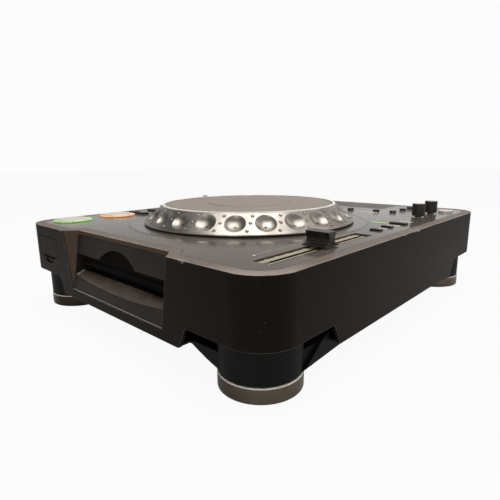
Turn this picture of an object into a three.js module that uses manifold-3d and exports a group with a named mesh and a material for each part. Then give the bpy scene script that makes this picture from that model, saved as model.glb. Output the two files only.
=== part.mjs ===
// Tabletop disc player with a jog wheel, slot loading, on four round feet.
// Millimetres, +Z up. The origin is on the surface it stands on, under the middle of the case.
// The front with the disc slot faces -Y, the connectors face +Y, and the fader is on the +X side.

import * as THREE from "three";
import { mergeVertices } from "three/addons/utils/BufferGeometryUtils.js";
import { ConvexGeometry } from "three/addons/geometries/ConvexGeometry.js";
import Module from "manifold-3d";

// Case
const WIDTH = 320;
const DEPTH = 370;
const RIM_Z = 83;
const CORNER_R = 27;
const WALL = 3;
const DECK = 3.5;
const CORNER_EDGE_Z = 38.5;
const SKIRT_Z = 23;
const SKIRT_START = WIDTH * 0.209375;
const SKIRT_SLANT = 8;
const GAP = 0.3;
const OVERRUN = 1;

// Control plate let into the deck
const BORDER = 9;
const PLATE = 1.2;

// Recess in the front wall, deepest at the deck
const RECESS_HALF = WIDTH * 0.209375;
const RECESS_DEPTH = 10.5;
const RECESS_FLARE = 10;
const RECESS_FOOT_DEPTH = 1;
const RECESS_FOOT_Z = 31;

// Disc slot: bezel, ramp below the slot and felt seal behind it
const BEZEL = 3;
const BEZEL_LAND = 2;
const SLOT_HALF = WIDTH * 0.20375;
const SLOT_TOP_Z = 63;
const NOTCH_HALF = WIDTH * 0.084375;
const NOTCH_RISE = 10.5;
const LIP_FOOT_Z = 41.2;
const LIP_EDGE = 2;
const LIP_RISE = 3.2;
const LIP_DIP_R = 40;
const LIP_DIP = 2;
const SLIT_HALF = WIDTH * 0.1984375;
const SLIT_HEIGHT = 5;
const SLIT_OVER_LIP = 0.5;
const SEAL = 2;
const SEAL_TOP_Z = 76;
const SEAL_BAR = 1;
const SEAL_BAR_HEIGHT = 4.5;

// Feet and legs
const LEG_INSET = 34;
const LEG_R = 27.5;
const LEG_WALL = 3;
const LEG_TOP_Z = 39;
const LEG_FLOOR = 3;
const LEG_BOSS_R = 5;
const LEG_RIB = 2;
const LEG_RIB_DROP = 2;
const CONE_START_Z = 13.8;
const CONE_SLOPE = 0.52;
const FOOT_R = 28;
const FOOT_TOP_Z = 12;
const FOOT_RIM_Z = 1.2;
const FOOT_EDGE = 0.6;
const PAD_R = 24.5;
const PAD_SEAT_Z = 4;
const FOOT_SCREW_R = 2.5;

// Pan of the lower case, with a web from each leg along the side wall
const PAN = 2.5;
const PAN_POST_R = 4;
const PAN_POST_INSET = 3;
const PAN_INSET = 10;
const PAN_WALL_INSET = 22;
const PAN_WALL_BEYOND_LEG = 18.5;
const PAN_WALL_START = WIDTH / 2 - LEG_INSET - LEG_R - PAN_WALL_BEYOND_LEG;
const WEB = 2.5;
const WEB_FOOT_Z = 13;
const WEB_END_Z = 16.5;
const WEB_BEYOND_LEG = 29.5;
const WEB_APEX_BEYOND_LEG = 10.5;
const WEB_REACH = LEG_R + WEB_BEYOND_LEG;
const WEB_APEX_REACH = LEG_R + WEB_APEX_BEYOND_LEG;
const WEB_APEX_Z = 32;
const WEB_TAIL = 8;

// Jog wheel, its place from the middle of the case
const JOG_X = WIDTH * 0.01875;
const JOG_Y = -DEPTH * 0.0864864865;
const JOG_R = Math.min(WIDTH * 0.321875, DEPTH * 0.2783783784);
const JOG_CONE_RUN = 18.6;
const JOG_RIM_R = JOG_R - JOG_CONE_RUN;
const JOG_RIM_WIDTH = 2;
const JOG_LIFT = 1.4;
const JOG_HEIGHT = 16.3;
const JOG_EDGE = 1;
const JOG_WALL = 5;
const JOG_WEB = 3;
const JOG_WEB_LIFT = 1.8;
const JOG_HUB_WALL = 4;
const JOG_HUB_HEIGHT = 6.8;
const DIMPLE_COUNT = 24;
const DIMPLE_R = 9.1;
const DIMPLE_DEPTH = 3.4;
const DIMPLE_SHARE = 0.5;
const JOG_PLATE = 2.8;
const JOG_PLATE_SINK = 0.2;
const JOG_PLATE_GAP = 0.4;
const JOG_LEDGE = 2.4;
const JOG_PRESS = 0.4;
const SURROUND_BEYOND = 13;
const SURROUND_UNDER = 7;
const SURROUND_R = JOG_R + SURROUND_BEYOND;
const SURROUND_HOLE_R = JOG_R - SURROUND_UNDER;
const SURROUND_PROUD = 0.2;
const POST_R = 14;
const POST_BORE_R = 9;
const POST_FLANGE_R = 30;
const POST_FLANGE = 2.4;
const POST_SHOULDER_R = 17;
const POST_SPIGOT_R = 11.7;
const POST_HEIGHT = 12.8;
const BEARING_WIDTH = 6;
const BEARING_DEPTH = 6;
const DISPLAY_BODY_R = 38;
const DISPLAY_LIP = 2.6;
const DISPLAY_R = DISPLAY_BODY_R + DISPLAY_LIP;
const DISPLAY_STEM = 2;
const DISPLAY_BODY = 2.5;
const LENS_PROUD = 0.3;

// Keys on the deck
const KEY_PROUD = 1.6;
const KEY_TRAVEL = 1;
const KEY_CLEAR = 0.35;
const KEY_FLANGE = 1.2;
const KEY_FLANGE_DEPTH = 2;
const SEARCH_WIDE = WIDTH * 0.040625;
const SEARCH_LONG = 8;
const SEARCH_CORNER = 1.5;
const SEARCH_PITCH = WIDTH * 0.053125;
const HOT_CUE_WIDE = WIDTH * 0.05625;
const HOT_CUE_LONG = 12;
const HOT_CUE_PITCH = DEPTH * 0.0594594595;
const LOOP_R = 7;
const LOOP_PITCH = WIDTH * 0.075;
const SMALL_KEY_R = 3.6;
const EJECT_R = 7.5;
const MODE_WIDE = 16;
const MODE_LONG = 6;
const TEMPO_KEY_WIDE = 10;
const TEMPO_KEY_LONG = 5.5;
const KEY_CORNER = 1;

// Play and cue keys in their lit rings
const TRANSPORT_R = WIDTH * 0.048125;
const TRANSPORT_PROUD = 2.2;
const RING_INNER_R = WIDTH * 0.049375;
const RING_TUBE_R = WIDTH * 0.0553125;
const RING_FLANGE_R = WIDTH * 0.059375;
const RING_FLANGE = 0.9;

// Places on the deck, from the nearest side or end of the case
const LEFT_INSET = WIDTH * 0.0875;
const RIGHT_INSET = WIDTH * 0.08125;
const PLAY_FROM_FRONT = DEPTH * 0.0945945946;
const CUE_FROM_FRONT = DEPTH * 0.2297297297;
const SEARCH_FROM_FRONT = DEPTH * 0.3027027027;
const TRACK_FROM_FRONT = DEPTH * 0.3702702703;
const LEVER_FROM_FRONT = DEPTH * 0.5810810811;
const HOT_CUE_FROM_REAR = DEPTH * 0.2486486486;
const LOOP_FROM_REAR = DEPTH * 0.0945945946;
const FADER_FROM_FRONT = DEPTH * 0.2378378378;
const RANGE_FROM_FRONT = DEPTH * 0.4648648649;
const MASTER_FROM_FRONT = DEPTH * 0.5216216216;
const MODE_FROM_FRONT = DEPTH * 0.5864864865;
const KNOB_INSET = WIDTH * 0.1;
const RELEASE_FROM_REAR = DEPTH * 0.1513513514;
const BRAKE_FROM_REAR = DEPTH * 0.2459459459;
const EJECT_INSET = WIDTH * 0.071875;
const EJECT_FROM_REAR = DEPTH * 0.0945945946;
const TIME_KEY_INSET = WIDTH * 0.365625;
const CALL_BACK_INSET = WIDTH * 0.271875;
const MEMORY_INSET = WIDTH * 0.209375;
const TIME_FROM_REAR = DEPTH * 0.2108108108;
const CALL_FROM_REAR = DEPTH * 0.1972972973;
const MEMORY_FROM_REAR = DEPTH * 0.1243243243;
const DELETE_FROM_REAR = DEPTH * 0.0675675676;

// Knobs
const KNOB_R = 6.4;
const KNOB_TOP = 13.5;
const KNOB_LIFT = 0.8;
const KNOB_FLUTES = 16;
const KNOB_FLUTE_SHARE = 0.92;
const KNOB_STEM_R = 3;
const KNOB_STEM = 8;

// Direction lever, turning on a pin under the deck
const LEVER_TOP = 13;
const LEVER_WIDE = 5;
const LEVER_LONG = 8;
const LEVER_PIN_DROP = 9;
const LEVER_PIN_R = 1.3;
const LEVER_HUB_R = 3.4;
const LEVER_PIN = 2.4;
const LEVER_EAR = 2;
const LEVER_SLOT_LONG = 14.5;

// Tempo fader
const FADER_TRAVEL = DEPTH * 0.1351351351;
const TROUGH_WIDE = 15;
const TROUGH_SPARE = 23;
const TROUGH_DROP = 1.2;
const TROUGH_FLOOR = 1.5;
const FADER_SLOT = 2.6;
const FADER_CAVITY = 8;
const FADER_STEM_WIDE = 1.6;
const FADER_STEM_LONG = 6;
const FADER_STEM = 9;
const CAP_WIDE = 19;
const CAP_LONG = 17;
const CAP_TOP = 13.5;
const CAP_LIFT = 0.9;
const CAP_TOP_LONG = 9;
const CAP_WAIST_LONG = 7.5;
const CAP_FOOT = 1.5;

// Display window behind the jog wheel
const WINDOW_WIDE = WIDTH * 0.40625;
const WINDOW_LONG = DEPTH * 0.1135135135;
const WINDOW_X = WIDTH * 0.015625;
const WINDOW_FROM_REAR = DEPTH * 0.0864864865;
const WINDOW_LEDGE = 3;
const WINDOW_CORNER = 2;
const TUBE_DEPTH = 9;

// Control board under the deck
const BOARD = 1.6;
const BOARD_Z = 67;
const BOARD_FRONT_INSET = 44;
const BOARD_ARM = WIDTH * 0.1375;
const BOARD_REAR_FROM_REAR = DEPTH * 0.3378378378;
const BOARD_EDGE = 10;
const STANDOFF_R = 3;
const PEDESTAL = 6;

// Card door, its bay and reader, left of the slot
const DOOR_X = -WIDTH * 0.35;
const DOOR_WIDE = WIDTH * 0.125;
const DOOR_TOP_Z = 73;
const DOOR_TALL = 18;
const DOOR_THICK = 2.4;
const DOOR_PIN_R = 0.7;
const DOOR_PIN = 1.6;
const SCOOP_WIDE = WIDTH * 0.06875;
const SCOOP_TALL = 4;
const SCOOP_DEPTH = 1.6;
const READER_WALL = 2;
const READER_DEPTH = 36;
const BAY_DEPTH = 9;
const CARD_WIDE = WIDTH * 0.076875;
const CARD_THICK = 2.6;

// Disc drive
const DRIVE_HALF = WIDTH * 0.21875;
const DRIVE_SPARE = 10.5;
const DRIVE_SHEET = 1.5;
const DRIVE_SIDE = 3;
const DRIVE_TOP_Z = 56;
const DRIVE_BASE_Z = 30;
const ROLLER_R = 4.5;
const ROLLER_FROM_WALL = 7;
const ROLLER_SHAFT_R = 1.8;
const ROLLER_END = 1;
const ROLLER_DROP = 0.2;
const SPINDLE_FROM_WALL = 75;
const SPINDLE_R = 13.5;
const SPINDLE = 2.6;
const SPINDLE_DROP = 0.6;
const SPINDLE_NOSE_R = 7.3;
const SPINDLE_SHAFT_R = 1.5;
const SPINDLE_SHAFT = 9;
const MOTOR_R = 11;
const MOTOR_TOP_DROP = 4;
const RAIL_SPACING = 12;
const RAIL = 3;
const SLED_WIDE = 34;
const SLED_LONG = 22;
const SLED_TALL = 8;
const SLED_START = 25;
const SLED_TRAVEL = 33;
const LASER_LENS_R = 3.5;
const LASER_LENS = 2;

// Power supply
const SUPPLY_X = WIDTH * 0.1125;
const SUPPLY_Y = DEPTH * 0.2918918919;
const SUPPLY_WIDE = WIDTH * 0.21875;
const SUPPLY_LONG = DEPTH * 0.2432432432;
const SUPPLY_LIFT = 4;
const SUPPLY_BOARD = 1.6;
const TRANSFORMER_WIDE = 40;
const TRANSFORMER_LONG = 36;
const TRANSFORMER_TALL = 25;
const CAPACITOR_R = 9;
const CAPACITOR_TALL = 22;
const HEAT_SINK = 3;

// Connectors in the rear wall
const REAR_Z = 53;
const JACK_X = -WIDTH * 0.275;
const JACK_WIDE = WIDTH * 0.2375;
const JACK_TALL = 20;
const JACK_POCKET = 10;
const JACK_FLOOR = 6;
const JACK_RIM = 3;
const PHONO_R = 4.2;
const PHONO_BORE_R = 1.7;
const PHONO_LENGTH = 9;
const PHONO_SHARES = [-0.37, -0.13, 0.13, 0.37];
const INLET_X = WIDTH * 0.303125;
const INLET_WIDE = 24;
const INLET_TALL = 17;
const INLET_POCKET = 14;
const INLET_PIN = 2;
const INLET_PIN_LENGTH = 10;
const INLET_PIN_SPACING = 7;
const ROCKER_X = WIDTH * 0.19375;
const ROCKER_WIDE = 11;
const ROCKER_TALL = 18;
const ROCKER_TIP = 3.9;
const ROCKER_DISH = 1.6;
const ROCKER_BACK = 3;
const ROCKER_SINK = 5.2;
const ROCKER_TILT_DEG = 7;
const ROCKER_CLEAR = 0.6;
const ROCKER_PIN_R = 1.2;
const ROCKER_PIN = 1.8;
const MODULE_DEPTH = 22;

// How finely round shapes are faceted
const FACETS_LARGE = 48;
const FACETS_LEG = 24;
const FACETS_KEY = 12;
const FACETS_PIN = 8;
const FACETS_BALL = 10;
const CORNER_FACETS = 4;
const ROUND_KEY_FACETS = 2;
const KEY_CORNER_FACETS = 1;

// Places worked out from the sizes above
const front = -DEPTH / 2;
const rear = DEPTH / 2;
const left = -WIDTH / 2;
const right = WIDTH / 2;
const leftColumn = left + LEFT_INSET;
const rightColumn = right - RIGHT_INSET;
const plateFloor = RIM_Z - PLATE - GAP;
const deckUnder = RIM_Z - DECK;
const innerFront = front + WALL;
const innerRear = rear - WALL;
const jogBase = RIM_Z + JOG_LIFT;
const jogTop = jogBase + JOG_HEIGHT;
const webUnder = jogBase + JOG_WEB_LIFT;
const keyFlangeTop = -(DECK + GAP);
const keyFlangeFoot = keyFlangeTop - KEY_FLANGE_DEPTH;
const boardTop = BOARD_Z + BOARD;
const lipTopZ = LIP_FOOT_Z + GAP + LIP_EDGE + LIP_RISE;
const slitZ = lipTopZ + SLIT_OVER_LIP;
const sealFront = recessY(SEAL_TOP_Z) + BEZEL + GAP;
const sealBack = sealFront + SEAL;
const driveFront = sealBack + GAP;
const sledReach = SLED_START + SLED_TRAVEL + SLED_LONG / 2;
const driveLength = SPINDLE_FROM_WALL + sledReach + DRIVE_SPARE;
const panTop = SKIRT_Z + GAP + PAN;
const spindleY = driveFront + SPINDLE_FROM_WALL;
const doorPinY = front + DOOR_THICK / 2;
const doorPinZ = DOOR_TOP_Z - DOOR_THICK / 2;
const faderY = front + FADER_FROM_FRONT;
const troughLong = FADER_TRAVEL * 2 + TROUGH_SPARE;

const wasm = await Module();
wasm.setup();

// Materials, coloured as the finishes look in daylight

function finish(color, roughness, metalness) {
  return new THREE.MeshStandardMaterial({ color, roughness, metalness });
}

const casePaint = finish(0x2b2725, 0.5, 0.1);
const plateSatin = finish(0x847a74, 0.4, 0.5);
const blackPlastic = finish(0x1b1a1a, 0.55, 0);
const lowerPlastic = finish(0x1d1f22, 0.5, 0);
const lipPlastic = finish(0x4b423b, 0.45, 0.1);
const felt = finish(0x151413, 0.95, 0);
const nickel = finish(0x5d564e, 0.3, 1);
const rubber = finish(0x222222, 0.9, 0);
const polished = finish(0xc9c6c2, 0.2, 1);
const jogSatin = finish(0xa39a92, 0.4, 0.5);
const surroundGloss = finish(0x6f6a66, 0.15, 0.7);
const smokedWindow = finish(0x14161a, 0.1, 0);
const greenRing = finish(0x6fbf5a, 0.4, 0);
const orangeRing = finish(0xd9863c, 0.4, 0);
const silverKey = finish(0xd8d4cf, 0.3, 0.6);
const boardGreen = finish(0x23472f, 0.6, 0);
const zinc = finish(0x9a9da0, 0.4, 0.9);
const steel = finish(0xb4b6b8, 0.3, 1);

// Solids

function solid(geometry) {
  const bare = geometry.index ? geometry.toNonIndexed() : geometry.clone();
  bare.deleteAttribute("normal");
  bare.deleteAttribute("uv");
  const merged = mergeVertices(bare);
  const corners = merged.index.array;
  const kept = [];
  for (let i = 0; i < corners.length; i += 3) {
    const [a, b, c] = [corners[i], corners[i + 1], corners[i + 2]];
    if (a !== b && b !== c && c !== a) kept.push(a, b, c);
  }
  return new wasm.Manifold(new wasm.Mesh({
    numProp: 3,
    vertProperties: new Float32Array(merged.attributes.position.array),
    triVerts: new Uint32Array(kept),
  }));
}

function piece(name, shape, material) {
  const { vertProperties, triVerts } = shape.getMesh();
  const geometry = new THREE.BufferGeometry();
  geometry.setAttribute("position", new THREE.BufferAttribute(vertProperties, 3));
  geometry.setIndex(new THREE.BufferAttribute(triVerts, 1));
  geometry.computeVertexNormals();
  const mesh = new THREE.Mesh(geometry, material);
  mesh.name = name;
  return mesh;
}

function placed(mesh, x, y, z) {
  mesh.position.set(x, y, z);
  return mesh;
}

function join(first, ...others) {
  return others.reduce((whole, other) => whole.add(other), first);
}

function cut(first, ...others) {
  return others.reduce((whole, other) => whole.subtract(other), first);
}

function block(x0, x1, y0, y1, z0, z1) {
  const geometry = new THREE.BoxGeometry(x1 - x0, y1 - y0, z1 - z0);
  return solid(geometry.translate((x0 + x1) / 2, (y0 + y1) / 2, (z0 + z1) / 2));
}

function cone(x, y, lowR, highR, z0, z1, facets) {
  const geometry = new THREE.CylinderGeometry(highR, lowR, z1 - z0, facets);
  return solid(geometry.rotateX(Math.PI / 2).translate(x, y, (z0 + z1) / 2));
}

function drum(x, y, radius, z0, z1, facets) {
  return cone(x, y, radius, radius, z0, z1, facets);
}

function drumAlongX(y, z, radius, x0, x1, facets) {
  const geometry = new THREE.CylinderGeometry(radius, radius, x1 - x0, facets);
  return solid(geometry.rotateZ(Math.PI / 2).translate((x0 + x1) / 2, y, z));
}

function drumAlongY(x, z, radius, y0, y1, facets) {
  const geometry = new THREE.CylinderGeometry(radius, radius, y1 - y0, facets);
  return solid(geometry.translate(x, (y0 + y1) / 2, z));
}

function outline(points) {
  return new THREE.Shape(points.map(([u, v]) => new THREE.Vector2(u, v)));
}

function extruded(shape, length, facets) {
  return new THREE.ExtrudeGeometry(shape, {
    depth: length,
    bevelEnabled: false,
    curveSegments: facets,
  });
}

function alongZ(shape, z0, z1, facets) {
  return solid(extruded(shape, z1 - z0, facets).translate(0, 0, z0));
}

// The outline's first axis is Y and its second is Z.
function alongX(shape, x0, x1, facets) {
  const turn = new THREE.Matrix4().set(0, 0, 1, x0, 1, 0, 0, 0, 0, 1, 0, 0, 0, 0, 0, 1);
  return solid(extruded(shape, x1 - x0, facets).applyMatrix4(turn));
}

// The outline's first axis is X and its second is Z.
function alongY(shape, y0, y1, facets) {
  const turn = new THREE.Matrix4().set(1, 0, 0, 0, 0, 0, -1, y1, 0, 1, 0, 0, 0, 0, 0, 1);
  return solid(extruded(shape, y1 - y0, facets).applyMatrix4(turn));
}

function roundedRect(x, y, wide, long, radius) {
  const shape = new THREE.Shape();
  const reachX = wide / 2 - radius;
  const reachY = long / 2 - radius;
  shape.absarc(x + reachX, y + reachY, radius, 0, Math.PI / 2);
  shape.absarc(x - reachX, y + reachY, radius, Math.PI / 2, Math.PI);
  shape.absarc(x - reachX, y - reachY, radius, Math.PI, Math.PI * 1.5);
  shape.absarc(x + reachX, y - reachY, radius, Math.PI * 1.5, Math.PI * 2);
  return shape;
}

function turned(profile, facets) {
  const points = profile.map(([r, z]) => new THREE.Vector2(r, z));
  if (THREE.ShapeUtils.isClockWise(points)) points.reverse();
  points.push(points[0].clone());
  return solid(new THREE.LatheGeometry(points, facets).rotateX(Math.PI / 2));
}

// A straight-sided solid between two level outlines
function loft(low, lowZ, high, highZ) {
  const points = [];
  for (const [x, y] of low) points.push(new THREE.Vector3(x, y, lowZ));
  for (const [x, y] of high) points.push(new THREE.Vector3(x, y, highZ));
  return solid(new ConvexGeometry(points));
}

function mirrored(make) {
  const both = [];
  for (const side of [-1, 1]) {
    for (const end of [-1, 1]) both.push(make(side, end));
  }
  return both;
}

// Front recess

function recessDepth(z) {
  const share = (z - RECESS_FOOT_Z) / (RIM_Z - RECESS_FOOT_Z);
  return RECESS_FOOT_DEPTH + (RECESS_DEPTH - RECESS_FOOT_DEPTH) * share;
}

function recessY(z) {
  return front + recessDepth(z);
}

// Plan of the recess at one height, grown into the case by an offset
function recessPlan(z, offset) {
  const flareRate = RECESS_FLARE / RECESS_DEPTH;
  const half = RECESS_HALF + offset * Math.tan(Math.atan(flareRate) / 2);
  const back = recessY(z) + offset;
  const mouth = front - OVERRUN;
  const wide = half + (back - mouth) * flareRate;
  return [[-half, back], [half, back], [wide, mouth], [-wide, mouth]];
}

function recessSpace(offset) {
  const top = recessPlan(RIM_Z, offset);
  const foot = recessPlan(RECESS_FOOT_Z, offset);
  return join(
    loft(foot, RECESS_FOOT_Z - offset, top, RIM_Z),
    loft(top, RIM_Z - OVERRUN, top, RIM_Z + OVERRUN),
  );
}

// Openings that run through both the control plate and the deck

function roundHole(x, y, radius, facets) {
  return drum(x, y, radius, deckUnder - OVERRUN, RIM_Z + OVERRUN, facets);
}

function keyFacets(spec) {
  return spec.wide > spec.corner * 2 ? KEY_CORNER_FACETS : ROUND_KEY_FACETS;
}

function keyHole(spec) {
  const grow = KEY_CLEAR * 2;
  const shape = roundedRect(
    spec.x, spec.y, spec.wide + grow, spec.long + grow, spec.corner + KEY_CLEAR,
  );
  return alongZ(shape, deckUnder - OVERRUN, RIM_Z + OVERRUN, keyFacets(spec));
}

function panelHole(x, y, wide, long) {
  return block(
    x - wide / 2, x + wide / 2, y - long / 2, y + long / 2,
    deckUnder - OVERRUN, RIM_Z + OVERRUN,
  );
}

function key(name, x, y, wide, long, corner, material) {
  return { name, x, y, wide, long, corner, material };
}

function roundKey(name, x, y, radius, material) {
  return key(name, x, y, radius * 2, radius * 2, radius, material);
}

function searchKeys() {
  return ["search", "track"].flatMap((kind, row) => ["reverse", "forward"].map((way, side) => {
    const y = front + (row ? TRACK_FROM_FRONT : SEARCH_FROM_FRONT);
    const x = leftColumn - SEARCH_PITCH / 2 + side * SEARCH_PITCH;
    return key(`${kind}_${way}`, x, y, SEARCH_WIDE, SEARCH_LONG, SEARCH_CORNER, blackPlastic);
  }));
}

function hotCueKeys() {
  return ["a", "b", "c"].map((letter, place) => {
    const y = rear - HOT_CUE_FROM_REAR + (place - 1) * HOT_CUE_PITCH;
    return key(`hot_cue_${letter}`, leftColumn, y, HOT_CUE_WIDE, HOT_CUE_LONG, KEY_CORNER, silverKey);
  });
}

function loopKeys() {
  return ["loop_in", "loop_out", "reloop"].map((name, place) => (
    roundKey(name, leftColumn + place * LOOP_PITCH, rear - LOOP_FROM_REAR, LOOP_R, silverKey)
  ));
}

function memoryKeys() {
  const places = [
    ["time_mode", TIME_KEY_INSET, TIME_FROM_REAR],
    ["call_back", CALL_BACK_INSET, CALL_FROM_REAR],
    ["call_forward", MEMORY_INSET, CALL_FROM_REAR],
    ["memory", MEMORY_INSET, MEMORY_FROM_REAR],
    ["delete", MEMORY_INSET, DELETE_FROM_REAR],
  ];
  return places.map(([name, inset, fromRear]) => (
    roundKey(`${name}_button`, right - inset, rear - fromRear, SMALL_KEY_R, blackPlastic)
  ));
}

function rightKeys() {
  return [
    roundKey("eject_button", right - EJECT_INSET, rear - EJECT_FROM_REAR, EJECT_R, silverKey),
    key(
      "jog_mode_button", rightColumn, front + MODE_FROM_FRONT,
      MODE_WIDE, MODE_LONG, KEY_CORNER, blackPlastic,
    ),
    key(
      "master_tempo_button", rightColumn, front + MASTER_FROM_FRONT,
      TEMPO_KEY_WIDE, TEMPO_KEY_LONG, KEY_CORNER, blackPlastic,
    ),
    key(
      "tempo_range_button", rightColumn, front + RANGE_FROM_FRONT,
      TEMPO_KEY_WIDE, TEMPO_KEY_LONG, KEY_CORNER, blackPlastic,
    ),
  ];
}

const keys = [...searchKeys(), ...hotCueKeys(), ...loopKeys(), ...memoryKeys(), ...rightKeys()];
const transports = [
  { name: "play", y: front + PLAY_FROM_FRONT, light: greenRing, overReader: true },
  { name: "cue", y: front + CUE_FROM_FRONT, light: orangeRing, overReader: false },
];
const knobs = [
  { name: "touch_brake_knob", x: right - KNOB_INSET, y: rear - BRAKE_FROM_REAR },
  { name: "release_start_knob", x: right - KNOB_INSET, y: rear - RELEASE_FROM_REAR },
];
const lever = { x: leftColumn, y: front + LEVER_FROM_FRONT };
const windowY = rear - WINDOW_FROM_REAR;

function panelOpenings() {
  return [
    ...keys.map(keyHole),
    ...transports.map((t) => roundHole(leftColumn, t.y, RING_TUBE_R + GAP, FACETS_LEG)),
    ...knobs.map((k) => roundHole(k.x, k.y, KNOB_STEM_R + KEY_CLEAR, FACETS_KEY)),
    panelHole(lever.x, lever.y, LEVER_WIDE + KEY_CLEAR * 2, LEVER_SLOT_LONG),
    panelHole(rightColumn, faderY, TROUGH_WIDE, troughLong),
  ];
}

// Outline of the control plate, or of its seat when grown by the gap
function plateBlank(grow, z0, z1) {
  const shape = roundedRect(
    0, 0, WIDTH - BORDER * 2 + grow * 2, DEPTH - BORDER * 2 + grow * 2, CORNER_R - BORDER + grow,
  );
  const plan = recessPlan(RIM_Z, BORDER - grow);
  return cut(
    alongZ(shape, z0, z1, CORNER_FACETS),
    loft(plan, z0 - OVERRUN, plan, z1 + OVERRUN),
  );
}

// Casing

// Space between the end of a skirt and the corner, open below the corner's edge
function cornerNotches(grow) {
  const topZ = CORNER_EDGE_Z + grow;
  const footZ = SKIRT_Z - OVERRUN;
  const steep = SKIRT_SLANT / (CORNER_EDGE_Z - SKIRT_Z);
  const inward = grow + (topZ - footZ) * steep;
  const sides = mirrored((side, end) => {
    const at = (reach) => end * (DEPTH / 2 - reach);
    const far = at(-OVERRUN);
    const face = outline([
      [far, topZ], [at(SKIRT_START + grow), topZ], [at(SKIRT_START + inward), footZ], [far, footZ],
    ]);
    const near = WIDTH / 2 - CORNER_R - grow;
    const [x0, x1] = side > 0 ? [near, right + OVERRUN] : [left - OVERRUN, -near];
    return alongX(face, x0, x1);
  });
  const ends = mirrored((side, end) => {
    const at = (reach) => side * (WIDTH / 2 - reach);
    const far = at(-OVERRUN);
    const face = outline([
      [far, topZ], [at(SKIRT_START + grow), topZ], [at(SKIRT_START + inward), footZ], [far, footZ],
    ]);
    const near = DEPTH / 2 - CORNER_R - grow;
    const [y0, y1] = end > 0 ? [near, rear + OVERRUN] : [front - OVERRUN, -near];
    return alongY(face, y0, y1);
  });
  return join(...sides, ...ends);
}

function caseShell() {
  const outside = alongZ(roundedRect(0, 0, WIDTH, DEPTH, CORNER_R), SKIRT_Z, RIM_Z, CORNER_FACETS);
  const hollow = roundedRect(0, 0, WIDTH - WALL * 2, DEPTH - WALL * 2, CORNER_R - WALL);
  const inside = alongZ(hollow, SKIRT_Z - OVERRUN, deckUnder, CORNER_FACETS);
  return outside.subtract(inside.subtract(recessSpace(WALL))).subtract(recessSpace(0));
}

function slotWindow() {
  return block(
    -RECESS_HALF, RECESS_HALF, front - OVERRUN, front + RECESS_DEPTH + BEZEL + WALL,
    RECESS_FOOT_Z + BEZEL_LAND, deckUnder,
  );
}

function doorOpening() {
  const half = DOOR_WIDE / 2 + GAP;
  const hole = block(
    DOOR_X - half, DOOR_X + half, front - OVERRUN, innerFront + OVERRUN,
    DOOR_TOP_Z - DOOR_TALL - GAP, DOOR_TOP_Z + GAP,
  );
  const pinReach = half + DOOR_PIN;
  const sockets = drumAlongX(
    doorPinY, doorPinZ, DOOR_PIN_R + GAP, DOOR_X - pinReach, DOOR_X + pinReach, FACETS_PIN,
  );
  const scoopTop = DOOR_TOP_Z - DOOR_TALL;
  const scoop = block(
    DOOR_X - SCOOP_WIDE / 2, DOOR_X + SCOOP_WIDE / 2, front - OVERRUN, front + SCOOP_DEPTH,
    scoopTop - SCOOP_TALL, scoopTop,
  );
  return join(hole, sockets, scoop);
}

function rearOpening(x, wide, tall) {
  return block(
    x - wide / 2, x + wide / 2, innerRear - OVERRUN, rear + OVERRUN,
    REAR_Z - tall / 2, REAR_Z + tall / 2,
  );
}

function rockerReach() {
  return Math.hypot(ROCKER_TIP, ROCKER_TALL / 2) + ROCKER_CLEAR;
}

function upperCase() {
  const seat = plateBlank(GAP, plateFloor, RIM_Z + OVERRUN);
  const ledge = panelHole(
    WINDOW_X, windowY, WINDOW_WIDE - WINDOW_LEDGE * 2, WINDOW_LONG - WINDOW_LEDGE * 2,
  );
  const shape = cut(
    caseShell(),
    seat,
    cornerNotches(0),
    slotWindow(),
    doorOpening(),
    rearOpening(JACK_X, JACK_WIDE, JACK_TALL),
    rearOpening(INLET_X, INLET_WIDE + GAP * 2, INLET_TALL + GAP * 2),
    rearOpening(ROCKER_X, ROCKER_WIDE + ROCKER_CLEAR * 2, rockerReach() * 2),
    roundHole(JOG_X, JOG_Y, POST_SPIGOT_R + GAP, FACETS_KEY),
    ledge,
    ...panelOpenings(),
  );
  return piece("upper_case", shape, casePaint);
}

function controlPlate() {
  const pane = roundedRect(
    WINDOW_X, windowY, WINDOW_WIDE + GAP * 2, WINDOW_LONG + GAP * 2, WINDOW_CORNER + GAP,
  );
  const shape = cut(
    plateBlank(0, plateFloor + GAP, RIM_Z),
    roundHole(JOG_X, JOG_Y, SURROUND_R + GAP, FACETS_LARGE),
    alongZ(pane, plateFloor, RIM_Z + OVERRUN, KEY_CORNER_FACETS),
    ...panelOpenings(),
  );
  return piece("control_plate", shape, plateSatin);
}

function displayWindow() {
  const pane = roundedRect(WINDOW_X, windowY, WINDOW_WIDE, WINDOW_LONG, WINDOW_CORNER);
  return piece("display_window", alongZ(pane, plateFloor + GAP, RIM_Z, KEY_CORNER_FACETS), smokedWindow);
}

// Lower case

// The case's plan drawn in by an inset, between two heights
function casePlan(inset, z0, z1) {
  const radius = Math.max(CORNER_R, LEG_INSET) - inset;
  const shape = roundedRect(0, 0, WIDTH - inset * 2, DEPTH - inset * 2, radius);
  return alongZ(shape, z0, z1, CORNER_FACETS);
}

function legCentre(side, end) {
  return [side * (WIDTH / 2 - LEG_INSET), end * (DEPTH / 2 - LEG_INSET)];
}

// A funnel that widens upwards round a leg, lifted from its lowest place by a height
function legFunnel(x, y, lift, topZ) {
  const start = CONE_START_Z + lift;
  return cone(x, y, LEG_R, LEG_R + (topZ - start) / CONE_SLOPE, start, topZ, FACETS_LEG);
}

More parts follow.
